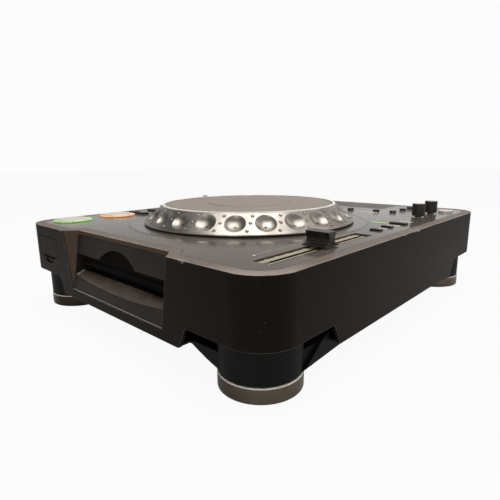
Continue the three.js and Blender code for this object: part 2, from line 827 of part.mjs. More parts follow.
// One leg: a hollow pillar in a thin funnel that braces it against the pan
function leg(side, end) {
  const [x, y] = legCentre(side, end);
  const foot = FOOT_TOP_Z + GAP;
  const pillar = drum(x, y, LEG_R, foot, LEG_TOP_Z, FACETS_LEG);
  const bore = drum(x, y, LEG_R - LEG_WALL, foot + LEG_FLOOR, LEG_TOP_Z + OVERRUN, FACETS_LEG);
  const funnel = legFunnel(x, y, 0, panTop).intersect(casePlan(PAN_INSET, 0, LEG_TOP_Z));
  const lift = LEG_WALL * Math.hypot(1, CONE_SLOPE);
  const room = casePlan(PAN_INSET + LEG_WALL, 0, LEG_TOP_Z);
  const pocket = legFunnel(x, y, lift, panTop + OVERRUN).intersect(room).subtract(pillar);
  return { outer: join(pillar, funnel), inner: [bore, pocket] };
}

// The screw boss inside a leg's pillar, with four ribs to its wall
function legRibs(side, end) {
  const [x, y] = legCentre(side, end);
  const foot = FOOT_TOP_Z + GAP;
  const reach = LEG_R - LEG_WALL / 2;
  const half = LEG_RIB / 2;
  const top = LEG_TOP_Z - LEG_RIB_DROP;
  return join(
    drum(x, y, LEG_BOSS_R, foot, top, FACETS_PIN),
    block(x - reach, x + reach, y - half, y + half, foot, top),
    block(x - half, x + half, y - reach, y + reach, foot, top),
  );
}

// Upright walls of the pan behind the open corners of the case
function panWalls() {
  const ring = casePlan(PAN_WALL_INSET, SKIRT_Z + GAP, LEG_TOP_Z)
    .subtract(casePlan(PAN_WALL_INSET + PAN, SKIRT_Z, LEG_TOP_Z + OVERRUN));
  const corners = mirrored((side, end) => {
    const [x0, x1] = side > 0 ? [PAN_WALL_START, right] : [left, -PAN_WALL_START];
    const startY = DEPTH / 2 - (WIDTH / 2 - PAN_WALL_START);
    const [y0, y1] = end > 0 ? [startY, rear] : [front, -startY];
    return block(x0, x1, y0, y1, 0, RIM_Z);
  });
  return join(...corners).intersect(ring);
}

// The upright web beside each leg, along the side wall
function legWeb(side, end) {
  const [x, y] = legCentre(side, end);
  const at = (reach) => y - end * reach;
  const shape = outline([
    [at(LEG_R / 4), WEB_FOOT_Z],
    [at(WEB_REACH), WEB_END_Z],
    [at(WEB_REACH + WEB_TAIL), panTop - WEB],
    [at(WEB_REACH - WEB_TAIL), panTop - WEB],
    [at(WEB_APEX_REACH + WEB), panTop],
    [at(WEB_APEX_REACH), WEB_APEX_Z],
    [at(LEG_R / 2), WEB_FOOT_Z + WEB / 2],
  ]);
  const outerX = WIDTH / 2 - PAN_INSET + WEB;
  const [x0, x1] = side > 0 ? [outerX - WEB * 2, outerX] : [-outerX, WEB * 2 - outerX];
  const web = alongX(shape, x0, x1);
  const bore = drum(x, y, LEG_R - LEG_WALL, 0, LEG_TOP_Z, FACETS_LEG);
  return web.subtract(bore);
}

function panPosts() {
  const inset = PAN_POST_INSET + PAN_POST_R;
  const y = [driveFront + inset, driveFront + driveLength - inset];
  const reach = DRIVE_HALF - DRIVE_SIDE - PAN_POST_R - GAP;
  return y.flatMap((at) => [-reach, reach].map((x) => (
    drum(x, at, PAN_POST_R, panTop - OVERRUN, DRIVE_BASE_Z - GAP, FACETS_PIN)
  )));
}

function lowerCase() {
  const foot = SKIRT_Z + GAP;
  const legs = mirrored(leg);
  const hollows = legs.flatMap((one) => one.inner);
  const screws = mirrored((side, end) => drum(
    ...legCentre(side, end), FOOT_SCREW_R, 0, LEG_TOP_Z, FACETS_PIN,
  ));
  const shape = join(
    casePlan(WALL + GAP, foot, panTop).subtract(cornerNotches(GAP)),
    casePlan(PAN_INSET, foot, panTop),
    panWalls(),
    ...legs.map((one) => one.outer),
  );
  const ribbed = join(cut(shape, ...hollows), ...mirrored(legRibs));
  const drilled = cut(ribbed, ...screws);
  return piece("lower_case", join(drilled, ...mirrored(legWeb), ...panPosts()), lowerPlastic);
}

function feet() {
  const group = new THREE.Group();
  const names = ["left_front", "left_rear", "right_front", "right_rear"];
  const ring = [
    [FOOT_SCREW_R, PAD_SEAT_Z],
    [PAD_R + GAP, PAD_SEAT_Z],
    [PAD_R + GAP, FOOT_RIM_Z],
    [FOOT_R, FOOT_RIM_Z],
    [FOOT_R, FOOT_TOP_Z - FOOT_EDGE],
    [FOOT_R - FOOT_EDGE, FOOT_TOP_Z],
    [FOOT_SCREW_R, FOOT_TOP_Z],
  ];
  mirrored(legCentre).forEach(([x, y], i) => {
    group.add(placed(piece(`foot_ring_${names[i]}`, turned(ring, FACETS_LEG), nickel), x, y, 0));
    const pad = drum(0, 0, PAD_R, 0, PAD_SEAT_Z - GAP, FACETS_LEG);
    group.add(placed(piece(`foot_pad_${names[i]}`, pad, rubber), x, y, 0));
  });
  return group;
}

// Disc slot

function slotBezel() {
  const z0 = RECESS_FOOT_Z + BEZEL_LAND + GAP;
  const z1 = deckUnder - GAP;
  const face = outline([
    [recessY(z0), z0], [recessY(z0) + BEZEL, z0], [recessY(z1) + BEZEL, z1], [recessY(z1), z1],
  ]);
  const half = RECESS_HALF - GAP;
  const y0 = front - OVERRUN;
  const y1 = front + RECESS_DEPTH + BEZEL + OVERRUN;
  const slot = block(-SLOT_HALF, SLOT_HALF, y0, y1, LIP_FOOT_Z, SLOT_TOP_Z);
  const notchR = (NOTCH_HALF * NOTCH_HALF + NOTCH_RISE * NOTCH_RISE) / (NOTCH_RISE * 2);
  const disc = drumAlongY(0, SLOT_TOP_Z + NOTCH_RISE - notchR, notchR, y0, y1, FACETS_LARGE);
  const above = block(-NOTCH_HALF, NOTCH_HALF, y0, y1, SLOT_TOP_Z - OVERRUN, deckUnder);
  return piece("slot_bezel", cut(alongX(face, -half, half), slot, disc.intersect(above)), casePaint);
}

function slotLip() {
  const foot = LIP_FOOT_Z + GAP;
  const outer = recessY(foot + LIP_EDGE) + GAP;
  const inner = sealFront - GAP;
  const top = foot + LIP_EDGE;
  const profile = outline([
    [outer, foot], [inner, foot], [inner, lipTopZ], [outer, top],
  ]);
  const half = SLOT_HALF - GAP;
  const dip = drumAlongY(
    0, lipTopZ - LIP_DIP + LIP_DIP_R, LIP_DIP_R, front, sealFront, FACETS_LARGE,
  );
  return piece("slot_lip", cut(alongX(profile, -half, half), dip), lipPlastic);
}

function slotSeal() {
  const plate = block(-SLOT_HALF, SLOT_HALF, sealFront, sealBack, LIP_FOOT_Z, SEAL_TOP_Z);
  const slit = block(
    -SLIT_HALF, SLIT_HALF, sealFront - OVERRUN, sealBack + OVERRUN, slitZ, slitZ + SLIT_HEIGHT,
  );
  const barFoot = slitZ + SLIT_HEIGHT;
  const bar = block(
    -SLIT_HALF, SLIT_HALF, sealFront - SEAL_BAR, sealBack, barFoot, barFoot + SEAL_BAR_HEIGHT,
  );
  return piece("slot_seal", plate.subtract(slit).add(bar), felt);
}

// Jog wheel, in its own group about the wheel's axis

// A point on the cone's outside, from its lower edge up, sunk in by a depth
function conePoint(share, depth) {
  const rise = JOG_HEIGHT - JOG_EDGE;
  const run = JOG_R - JOG_RIM_R;
  const length = Math.hypot(rise, run);
  const r = JOG_R - run * share - (depth * rise) / length;
  const z = jogBase + JOG_EDGE + rise * share - (depth * run) / length;
  return [r, z];
}

function hubBore() {
  return POST_R + GAP + BEARING_WIDTH + GAP;
}

function jogRing() {
  const bore = hubBore();
  const seatR = JOG_RIM_R - JOG_RIM_WIDTH;
  const ledgeZ = jogTop - JOG_PLATE_SINK - JOG_PLATE - JOG_PRESS - JOG_PLATE_GAP;
  const [innerTopR] = conePoint(1, JOG_WALL);
  const ledgeR = Math.min(seatR - JOG_LEDGE, innerTopR);
  const webTop = webUnder + JOG_WEB;
  const webShare = (webTop - jogBase) / JOG_HEIGHT;
  const [webR] = conePoint(webShare, JOG_WALL);
  const footR = JOG_R - JOG_WALL;
  const profile = [
    [bore, webUnder],
    [footR - JOG_WEB_LIFT, webUnder],
    [footR, jogBase],
    [JOG_R, jogBase],
    [JOG_R, jogBase + JOG_EDGE],
    conePoint(1, 0),
    [seatR, jogTop],
    [seatR, ledgeZ],
    [ledgeR, ledgeZ],
    [webR, webTop],
    [bore + JOG_HUB_WALL, webTop],
    [bore + JOG_HUB_WALL, webUnder + JOG_HUB_HEIGHT],
    [bore, webUnder + JOG_HUB_HEIGHT],
  ];
  const dimpleR = (DIMPLE_R * DIMPLE_R + DIMPLE_DEPTH * DIMPLE_DEPTH) / (DIMPLE_DEPTH * 2);
  const [r, z] = conePoint(DIMPLE_SHARE, DIMPLE_DEPTH - dimpleR);
  let shape = turned(profile, FACETS_LARGE);
  for (let i = 0; i < DIMPLE_COUNT; i += 1) {
    const turn = (i / DIMPLE_COUNT) * Math.PI * 2;
    const ball = new THREE.SphereGeometry(dimpleR, FACETS_BALL, FACETS_BALL);
    ball.rotateX(Math.PI / 2);
    ball.rotateY(Math.atan2(JOG_HEIGHT - JOG_EDGE, JOG_R - JOG_RIM_R));
    ball.translate(r, 0, z);
    shape = shape.subtract(solid(ball.rotateZ(turn)));
  }
  return piece("jog_ring", shape, polished);
}

function jogPlate() {
  const top = jogTop - JOG_PLATE_SINK;
  const outer = JOG_RIM_R - JOG_RIM_WIDTH - JOG_PLATE_GAP;
  const shape = turned([
    [DISPLAY_R + JOG_PLATE_GAP, top - JOG_PLATE],
    [outer, top - JOG_PLATE],
    [outer, top],
    [DISPLAY_R + JOG_PLATE_GAP, top],
  ], FACETS_LARGE);
  return piece("jog_plate", shape, jogSatin);
}

function jogSurround() {
  const shape = turned([
    [SURROUND_HOLE_R, plateFloor + GAP],
    [SURROUND_R, plateFloor + GAP],
    [SURROUND_R, RIM_Z],
    [SURROUND_R - SURROUND_PROUD, RIM_Z + SURROUND_PROUD],
    [SURROUND_HOLE_R, RIM_Z + SURROUND_PROUD],
  ], FACETS_LARGE);
  return piece("jog_surround", shape, surroundGloss);
}

const postFoot = plateFloor + GAP;
const shoulderTop = webUnder;
const bearingFoot = shoulderTop + GAP;
const postTop = postFoot + POST_HEIGHT;

function jogPost() {
  const shape = turned([
    [POST_BORE_R, deckUnder],
    [POST_SPIGOT_R, deckUnder],
    [POST_SPIGOT_R, postFoot],
    [POST_FLANGE_R, postFoot],
    [POST_FLANGE_R, postFoot + POST_FLANGE],
    [POST_SHOULDER_R, postFoot + POST_FLANGE],
    [POST_SHOULDER_R, shoulderTop],
    [POST_R, shoulderTop],
    [POST_R, postTop],
    [POST_BORE_R, postTop],
  ], FACETS_KEY);
  return piece("jog_post", shape, zinc);
}

function jogBearing() {
  const inner = POST_R + GAP;
  const shape = turned([
    [inner, bearingFoot],
    [inner + BEARING_WIDTH, bearingFoot],
    [inner + BEARING_WIDTH, bearingFoot + BEARING_DEPTH],
    [inner, bearingFoot + BEARING_DEPTH],
  ], FACETS_LEG);
  return piece("jog_bearing", shape, steel);
}

function jogDisplay() {
  const foot = postTop + GAP;
  const body = foot + DISPLAY_STEM;
  const lens = body + DISPLAY_BODY;
  const shape = join(
    drum(0, 0, POST_R, foot, body + OVERRUN, FACETS_LEG),
    drum(0, 0, DISPLAY_BODY_R, body, lens + OVERRUN, FACETS_LARGE),
    drum(0, 0, DISPLAY_R, lens, jogTop + LENS_PROUD, FACETS_LARGE),
  );
  return piece("jog_display", shape, smokedWindow);
}

function jogWheel() {
  const group = new THREE.Group();
  group.add(jogSurround(), jogPost(), jogBearing(), jogRing(), jogPlate(), jogDisplay());
  return placed(group, JOG_X, JOG_Y, 0);
}

// Keys, knobs and lever: each is modelled with its origin level with the rim of the deck

function keyPiece(spec) {
  const cap = roundedRect(0, 0, spec.wide, spec.long, spec.corner);
  const wide = spec.wide + KEY_FLANGE * 2;
  const long = spec.long + KEY_FLANGE * 2;
  const flange = roundedRect(0, 0, wide, long, spec.corner + KEY_FLANGE);
  const shape = join(
    alongZ(cap, keyFlangeFoot, KEY_PROUD, keyFacets(spec)),
    alongZ(flange, keyFlangeFoot, keyFlangeTop, keyFacets(spec)),
  );
  return placed(piece(spec.name, shape, spec.material), spec.x, spec.y, RIM_Z);
}

function transportPiece(spec) {
  const shape = join(
    drum(0, 0, TRANSPORT_R, keyFlangeFoot, TRANSPORT_PROUD, FACETS_LEG),
    drum(0, 0, RING_TUBE_R, keyFlangeFoot, keyFlangeTop, FACETS_LEG),
  );
  return placed(piece(`${spec.name}_button`, shape, silverKey), leftColumn, spec.y, RIM_Z);
}

function lightRing(spec) {
  const shape = turned([
    [RING_INNER_R, -DECK],
    [RING_TUBE_R, -DECK],
    [RING_TUBE_R, GAP],
    [RING_FLANGE_R, GAP],
    [RING_FLANGE_R, GAP + RING_FLANGE],
    [RING_INNER_R, GAP + RING_FLANGE],
  ], FACETS_LEG);
  return placed(piece(`${spec.name}_ring`, shape, spec.light), leftColumn, spec.y, RIM_Z);
}

function knobPiece(spec) {
  const grip = new THREE.Shape();
  const corners = KNOB_FLUTES * 2;
  for (let i = 0; i < corners; i += 1) {
    const radius = i % 2 ? KNOB_R * KNOB_FLUTE_SHARE : KNOB_R;
    const turn = (i / corners) * Math.PI * 2;
    const [x, y] = [radius * Math.cos(turn), radius * Math.sin(turn)];
    if (i) grip.lineTo(x, y);
    else grip.moveTo(x, y);
  }
  const shape = join(
    alongZ(grip, KNOB_LIFT, KNOB_TOP),
    drum(0, 0, KNOB_STEM_R, -KNOB_STEM, KNOB_LIFT + OVERRUN, FACETS_KEY),
  );
  return placed(piece(spec.name, shape, blackPlastic), spec.x, spec.y, RIM_Z);
}

function directionLever() {
  const reach = LEVER_WIDE / 2 + LEVER_PIN;
  const shape = join(
    block(-LEVER_WIDE / 2, LEVER_WIDE / 2, -LEVER_LONG / 2, LEVER_LONG / 2, -LEVER_PIN_DROP, LEVER_TOP),
    drumAlongX(0, -LEVER_PIN_DROP, LEVER_HUB_R, -LEVER_WIDE / 2, LEVER_WIDE / 2, FACETS_KEY),
    drumAlongX(0, -LEVER_PIN_DROP, LEVER_PIN_R, -reach, reach, FACETS_PIN),
  );
  return placed(piece("direction_lever", shape, blackPlastic), lever.x, lever.y, RIM_Z);
}

// Fader

function faderCap() {
  const foot = CAP_LIFT;
  const shoulder = foot + CAP_FOOT;
  const profile = new THREE.Shape();
  profile.moveTo(-CAP_LONG / 2, foot);
  profile.lineTo(CAP_LONG / 2, foot);
  profile.lineTo(CAP_LONG / 2, shoulder);
  profile.quadraticCurveTo(CAP_WAIST_LONG / 2, shoulder, CAP_TOP_LONG / 2, CAP_TOP);
  profile.lineTo(-CAP_TOP_LONG / 2, CAP_TOP);
  profile.quadraticCurveTo(-CAP_WAIST_LONG / 2, shoulder, -CAP_LONG / 2, shoulder);
  const shape = join(
    alongX(profile, -CAP_WIDE / 2, CAP_WIDE / 2, FACETS_PIN),
    block(
      -FADER_STEM_WIDE / 2, FADER_STEM_WIDE / 2, -FADER_STEM_LONG / 2, FADER_STEM_LONG / 2,
      -FADER_STEM, foot + OVERRUN,
    ),
  );
  return placed(piece("fader_cap", shape, blackPlastic), rightColumn, faderY, RIM_Z);
}

function faderUnit() {
  const wide = TROUGH_WIDE - GAP * 2;
  const long = troughLong - GAP * 2;
  const topZ = RIM_Z - TROUGH_DROP;
  const body = block(
    rightColumn - wide / 2, rightColumn + wide / 2, faderY - long / 2, faderY + long / 2,
    boardTop + GAP, topZ,
  );
  const runLong = FADER_TRAVEL * 2 + FADER_STEM_LONG + OVERRUN * 2;
  const run = (across, z0, z1) => block(
    rightColumn - across / 2, rightColumn + across / 2,
    faderY - runLong / 2, faderY + runLong / 2, z0, z1,
  );
  const floor = RIM_Z - FADER_STEM - OVERRUN;
  return piece("fader_unit", cut(
    body,
    run(FADER_SLOT, floor, topZ + OVERRUN),
    run(FADER_CAVITY, floor, topZ - TROUGH_FLOOR),
  ), blackPlastic);
}

// Control board with a pedestal under each key, knob and the lever

function pedestal(x, y, topZ) {
  const half = PEDESTAL / 2;
  return block(x - half, x + half, y - half, y + half, BOARD_Z, topZ);
}

function controlBoard() {
  const edge = WALL + BOARD_EDGE;
  const top = boardTop;
  const rearY = rear - BOARD_REAR_FROM_REAR;
  const armEnd = rearY + OVERRUN;
  const keyTop = RIM_Z + keyFlangeFoot - KEY_TRAVEL - GAP;
  const plate = join(
    block(left + edge, right - edge, rearY, rear - edge, BOARD_Z, top),
    block(left + edge, left + edge + BOARD_ARM, front + BOARD_FRONT_INSET, armEnd, BOARD_Z, top),
    block(right - edge - BOARD_ARM, right - edge, front + edge * 2, armEnd, BOARD_Z, top),
  );
  const tube = block(
    WINDOW_X - WINDOW_WIDE / 2, WINDOW_X + WINDOW_WIDE / 2,
    windowY - WINDOW_LONG / 2, windowY + WINDOW_LONG / 2, BOARD_Z, top + TUBE_DEPTH,
  );
  const postX = WIDTH / 2 - edge - BOARD_ARM + STANDOFF_R * 2;
  const postY = [rearY + edge, rear - edge - STANDOFF_R * 2];
  const standoffs = [-1, 1].flatMap((side) => postY.map((y) => (
    drum(side * postX, y, STANDOFF_R, BOARD_Z, deckUnder - GAP, FACETS_PIN)
  )));
  const pinZ = RIM_Z - LEVER_PIN_DROP;
  const ears = [-1, 1].map((side) => {
    const near = LEVER_WIDE / 2 + GAP;
    const [x0, x1] = side > 0 ? [near, near + LEVER_EAR] : [-near - LEVER_EAR, -near];
    return block(
      lever.x + x0, lever.x + x1, lever.y - LEVER_HUB_R, lever.y + LEVER_HUB_R,
      BOARD_Z, pinZ + LEVER_HUB_R,
    );
  });
  const earReach = LEVER_WIDE / 2 + LEVER_EAR + OVERRUN;
  const shape = join(
    plate, tube, ...standoffs, ...ears,
    ...keys.map((k) => pedestal(k.x, k.y, keyTop)),
    ...transports.filter((t) => !t.overReader).map((t) => pedestal(leftColumn, t.y, keyTop)),
    ...knobs.map((k) => pedestal(k.x, k.y, RIM_Z - KNOB_STEM - GAP)),
  );
  return piece("control_board", shape.subtract(drumAlongX(
    lever.y, pinZ, LEVER_PIN_R + GAP, lever.x - earReach, lever.x + earReach, FACETS_PIN,
  )), boardGreen);
}

// Card door and reader

function cardDoor() {
  const half = DOOR_WIDE / 2;
  const pinReach = half + DOOR_PIN;
  const leaf = DOOR_THICK / 2;
  const shape = join(
    block(-half, half, -leaf, leaf, DOOR_THICK / 2 - DOOR_TALL, 0),
    drumAlongX(0, 0, leaf, -half, half, FACETS_KEY),
    drumAlongX(0, 0, DOOR_PIN_R, -pinReach, pinReach, FACETS_PIN),
  );
  return placed(piece("card_door", shape, casePaint), DOOR_X, doorPinY, doorPinZ);
}

function cardReader() {
  const y0 = innerFront + GAP;
  const bayHalf = DOOR_WIDE / 2 + GAP;
  const footZ = DOOR_TOP_Z - DOOR_TALL;
  const body = block(
    DOOR_X - bayHalf - READER_WALL, DOOR_X + bayHalf + READER_WALL, y0, y0 + READER_DEPTH,
    footZ - READER_WALL, DOOR_TOP_Z + GAP + READER_WALL,
  );
  const bay = block(
    DOOR_X - bayHalf, DOOR_X + bayHalf, y0 - OVERRUN, y0 + BAY_DEPTH, footZ, DOOR_TOP_Z + GAP,
  );
  const midZ = DOOR_TOP_Z - DOOR_TALL / 2;
  const slot = block(
    DOOR_X - CARD_WIDE / 2, DOOR_X + CARD_WIDE / 2, y0, y0 + READER_DEPTH - READER_WALL,
    midZ - CARD_THICK / 2, midZ + CARD_THICK / 2,
  );
  return piece("card_reader", cut(body, bay, slot), blackPlastic);
}

// Disc drive

const rollerY = driveFront + DRIVE_SHEET + ROLLER_FROM_WALL;
const rollerZ = slitZ - ROLLER_DROP - ROLLER_R;

function driveFrame() {
  const back = driveFront + driveLength;
  const inner = DRIVE_HALF - DRIVE_SIDE;
  const sides = [[-DRIVE_HALF, -inner], [inner, DRIVE_HALF]].map(([x0, x1]) => (
    block(x0, x1, driveFront, back, panTop + GAP, DRIVE_TOP_Z)
  ));
  const baseTop = DRIVE_BASE_Z + DRIVE_SHEET;
  const base = block(-DRIVE_HALF, DRIVE_HALF, driveFront, back, DRIVE_BASE_Z, baseTop);
  const wall = block(
    -DRIVE_HALF, DRIVE_HALF, driveFront, driveFront + DRIVE_SHEET, DRIVE_BASE_Z, DRIVE_TOP_Z,
  );
  const end = block(-DRIVE_HALF, DRIVE_HALF, back - DRIVE_SHEET, back, DRIVE_BASE_Z, DRIVE_TOP_Z);
  const slot = block(
    -SLIT_HALF, SLIT_HALF, driveFront - OVERRUN, driveFront + DRIVE_SHEET + OVERRUN,
    slitZ - GAP, slitZ + SLIT_HEIGHT + GAP,
  );
  const motorTop = slitZ - SPINDLE_DROP - SPINDLE - MOTOR_TOP_DROP;
  const motor = drum(0, spindleY, MOTOR_R, DRIVE_BASE_Z, motorTop, FACETS_KEY);
  const bore = drum(
    0, spindleY, SPINDLE_SHAFT_R + GAP, baseTop, motorTop + OVERRUN, FACETS_PIN,
  );
  const rails = [-1, 1].map((side) => block(
    side * RAIL_SPACING - RAIL / 2, side * RAIL_SPACING + RAIL / 2,
    spindleY + MOTOR_R, back - DRIVE_SHEET, DRIVE_BASE_Z, baseTop + RAIL,
  ));
  const reach = DRIVE_HALF + OVERRUN;
  const shaft = drumAlongX(rollerY, rollerZ, ROLLER_SHAFT_R + GAP, -reach, reach, FACETS_PIN);
  const shape = join(...sides, base, wall, end, motor, ...rails);
  return piece("drive_frame", cut(shape, slot, bore, shaft), zinc);
}

function feedRoller() {
  const half = DRIVE_HALF - DRIVE_SIDE - ROLLER_END;
  const reach = DRIVE_HALF - OVERRUN;
  const shape = join(
    drumAlongX(0, 0, ROLLER_R, -half, half, FACETS_KEY),
    drumAlongX(0, 0, ROLLER_SHAFT_R, -reach, reach, FACETS_PIN),
  );
  return placed(piece("feed_roller", shape, rubber), 0, rollerY, rollerZ);
}

function turntable() {
  const top = slitZ - SPINDLE_DROP;
  const under = top - SPINDLE;
  const shape = join(
    drum(0, 0, SPINDLE_R, under, top - SPINDLE / 2, FACETS_LEG),
    cone(0, 0, SPINDLE_NOSE_R, SPINDLE_NOSE_R - OVERRUN, under, top, FACETS_KEY),
    drum(0, 0, SPINDLE_SHAFT_R, under - SPINDLE_SHAFT, under + OVERRUN, FACETS_PIN),
  );
  return placed(piece("turntable", shape, blackPlastic), 0, spindleY, 0);
}

function laserSled() {
  const foot = DRIVE_BASE_Z + DRIVE_SHEET + RAIL + GAP;
  const top = foot + SLED_TALL;
  const shape = join(
    block(-SLED_WIDE / 2, SLED_WIDE / 2, -SLED_LONG / 2, SLED_LONG / 2, foot, top),
    drum(0, 0, LASER_LENS_R, top - OVERRUN, top + LASER_LENS, FACETS_KEY),
  );
  return placed(piece("laser_sled", shape, zinc), 0, spindleY + SLED_START, 0);
}

// Power supply

function powerSupply() {
  const foot = panTop + GAP;
  const boardFoot = foot + SUPPLY_LIFT;
  const top = boardFoot + SUPPLY_BOARD;
  const [halfX, halfY] = [SUPPLY_WIDE / 2, SUPPLY_LONG / 2];
  const posts = mirrored((side, end) => drum(
    side * (halfX - STANDOFF_R), end * (halfY - STANDOFF_R), STANDOFF_R, foot, top, FACETS_PIN,
  ));
  const shape = join(
    block(-halfX, halfX, -halfY, halfY, boardFoot, top),
    block(
      -halfX, TRANSFORMER_WIDE - halfX, halfY - TRANSFORMER_LONG, halfY, boardFoot, top + TRANSFORMER_TALL,
    ),
    drum(-halfX / 2, -halfY / 2, CAPACITOR_R, boardFoot, top + CAPACITOR_TALL, FACETS_KEY),
    block(halfX - HEAT_SINK, halfX, -halfY, 0, boardFoot, top + CAPACITOR_TALL),
    ...posts,
  );
  return placed(piece("power_supply", shape, boardGreen), SUPPLY_X, SUPPLY_Y, 0);
}

// Rear connectors

function jackBlock() {
  const y1 = innerRear - GAP;
  const floor = y1 - JACK_POCKET;
  const half = JACK_WIDE / 2;
  const tall = JACK_TALL / 2;
  const body = block(
    JACK_X - half - JACK_RIM, JACK_X + half + JACK_RIM, floor - JACK_FLOOR, y1,
    REAR_Z - tall - JACK_RIM, REAR_Z + tall + JACK_RIM,
  );
  const pocket = block(
    JACK_X - half, JACK_X + half, floor, y1 + OVERRUN, REAR_Z - tall, REAR_Z + tall,
  );
  const at = PHONO_SHARES.map((share) => JACK_X + JACK_WIDE * share);
  const barrels = at.map((x) => (
    drumAlongY(x, REAR_Z, PHONO_R, floor - OVERRUN, floor + PHONO_LENGTH, FACETS_KEY)
  ));
  const bores = at.map((x) => (
    drumAlongY(x, REAR_Z, PHONO_BORE_R, floor, floor + PHONO_LENGTH + OVERRUN, FACETS_PIN)
  ));
  return piece("jack_block", cut(join(body.subtract(pocket), ...barrels), ...bores), blackPlastic);
}

function acInlet() {
  const y1 = innerRear - GAP;
  const reach = rockerReach();
  const wide = ROCKER_WIDE / 2 + ROCKER_CLEAR;
  const body = block(
    ROCKER_X - wide - JACK_RIM, INLET_X + INLET_WIDE / 2 + JACK_RIM, y1 - MODULE_DEPTH, y1,
    REAR_Z - reach - JACK_RIM, REAR_Z + reach + JACK_RIM,
  );
  const [halfX, halfZ] = [INLET_WIDE / 2, INLET_TALL / 2];
  const lip = block(
    INLET_X - halfX, INLET_X + halfX, y1 - OVERRUN, rear - GAP, REAR_Z - halfZ, REAR_Z + halfZ,
  );
  const rim = WALL / 2;
  const pocket = block(
    INLET_X - halfX + rim, INLET_X + halfX - rim, rear - INLET_POCKET, rear + OVERRUN,
    REAR_Z - halfZ + rim, REAR_Z + halfZ - rim,
  );
  const pivotY = rear - ROCKER_SINK;
  const cavity = drumAlongX(
    pivotY, REAR_Z, reach, ROCKER_X - wide, ROCKER_X + wide, FACETS_LARGE,
  );
  const pinReach = ROCKER_WIDE / 2 + ROCKER_PIN + ROCKER_CLEAR;
  const sockets = drumAlongX(
    pivotY, REAR_Z, ROCKER_PIN_R + GAP, ROCKER_X - pinReach, ROCKER_X + pinReach, FACETS_PIN,
  );
  const half = INLET_PIN / 2;
  const pins = [-1, 0, 1].map((place) => {
    const x = INLET_X + place * INLET_PIN_SPACING;
    const z = REAR_Z + (place ? 0 : 1) * INLET_PIN + INLET_PIN;
    const floor = rear - INLET_POCKET;
    return block(x - half, x + half, floor - OVERRUN, floor + INLET_PIN_LENGTH, z - half, z + half);
  });
  return piece("ac_inlet", join(cut(join(body, lip), pocket, cavity, sockets), ...pins), blackPlastic);
}

function powerSwitch() {
  const tip = ROCKER_TALL / 2;
  const profile = outline([
    [-ROCKER_BACK, -tip / 2], [0, -tip], [ROCKER_TIP, -tip], [ROCKER_TIP - ROCKER_DISH, 0],
    [ROCKER_TIP, tip], [0, tip], [-ROCKER_BACK, tip / 2],
  ]);
  const reach = ROCKER_WIDE / 2 + ROCKER_PIN;
  const shape = join(
    alongX(profile, -ROCKER_WIDE / 2, ROCKER_WIDE / 2),
    drumAlongX(0, 0, ROCKER_PIN_R, -reach, reach, FACETS_PIN),
  );
  const mesh = placed(piece("power_switch", shape, blackPlastic), ROCKER_X, rear - ROCKER_SINK, REAR_Z);
  mesh.rotation.x = -THREE.MathUtils.degToRad(ROCKER_TILT_DEG);
  return mesh;
}

const player = new THREE.Group();
player.add(
  upperCase(), controlPlate(), displayWindow(), lowerCase(), feet(),
  slotBezel(), slotLip(), slotSeal(), jogWheel(),
  ...transports.map(lightRing), ...transports.map(transportPiece), ...keys.map(keyPiece),
  ...knobs.map(knobPiece), directionLever(), faderUnit(), faderCap(),
  controlBoard(), cardDoor(), cardReader(),
  driveFrame(), feedRoller(), turntable(), laserSled(),
  powerSupply(), jackBlock(), acInlet(), powerSwitch(),
);

export default player;
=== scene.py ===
"""Looks of a slot-loading tabletop disc player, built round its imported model.

Lengths are in millimetres unless a name says otherwise, and pieces are made in metres.
The deck faces +Z, the disc slot -Y, the sockets +Y, and the tempo fader is on the +X side.
"""

import math

import bmesh
import bpy
from bpy.props import FloatProperty, FloatVectorProperty, PointerProperty
from mathutils import Matrix, Vector


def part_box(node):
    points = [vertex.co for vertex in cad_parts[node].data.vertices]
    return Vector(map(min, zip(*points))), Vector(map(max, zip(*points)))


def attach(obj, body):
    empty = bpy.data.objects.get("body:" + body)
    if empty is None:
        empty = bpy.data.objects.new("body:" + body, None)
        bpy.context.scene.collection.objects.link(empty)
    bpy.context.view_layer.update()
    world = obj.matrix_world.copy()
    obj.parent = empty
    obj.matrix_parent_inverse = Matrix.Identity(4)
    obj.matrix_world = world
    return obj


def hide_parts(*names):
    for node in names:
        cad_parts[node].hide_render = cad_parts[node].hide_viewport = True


bl_info = {
    "name": "Tabletop Disc Player",
    "version": (1, 0, 0),
    "blender": (4, 5, 0),
    "location": "3D View > Sidebar > Player",
    "description": "Builds the visible pieces and finishes of a slot-loading tabletop disc player",
    "category": "Add Mesh",
}

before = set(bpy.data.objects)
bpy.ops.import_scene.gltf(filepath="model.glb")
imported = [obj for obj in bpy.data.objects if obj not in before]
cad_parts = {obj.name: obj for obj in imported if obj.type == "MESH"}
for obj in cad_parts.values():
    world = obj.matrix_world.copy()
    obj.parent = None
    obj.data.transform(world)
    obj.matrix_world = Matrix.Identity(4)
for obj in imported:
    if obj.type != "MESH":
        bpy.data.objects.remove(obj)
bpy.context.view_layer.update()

MM = 0.001

# Case, as the solids have it
WIDTH = 320
DEPTH = 370
FRONT = -DEPTH / 2
REAR = DEPTH / 2
RIM_Z = 83
CORNER_R = 27
WALL = 3
DECK_UNDER = 79.5
SKIRT_Z = 23
CORNER_EDGE_Z = 38.5
SKIRT_START = 67
SKIRT_SLANT = 8
BORDER = 9
PLATE_FOOT = 81.8
GAP = 0.3

# How far a cutter goes past what it cuts, and ink above and below the deck
REACH = 1
INK_UNDER = 0.05
INK_OVER = 0.06

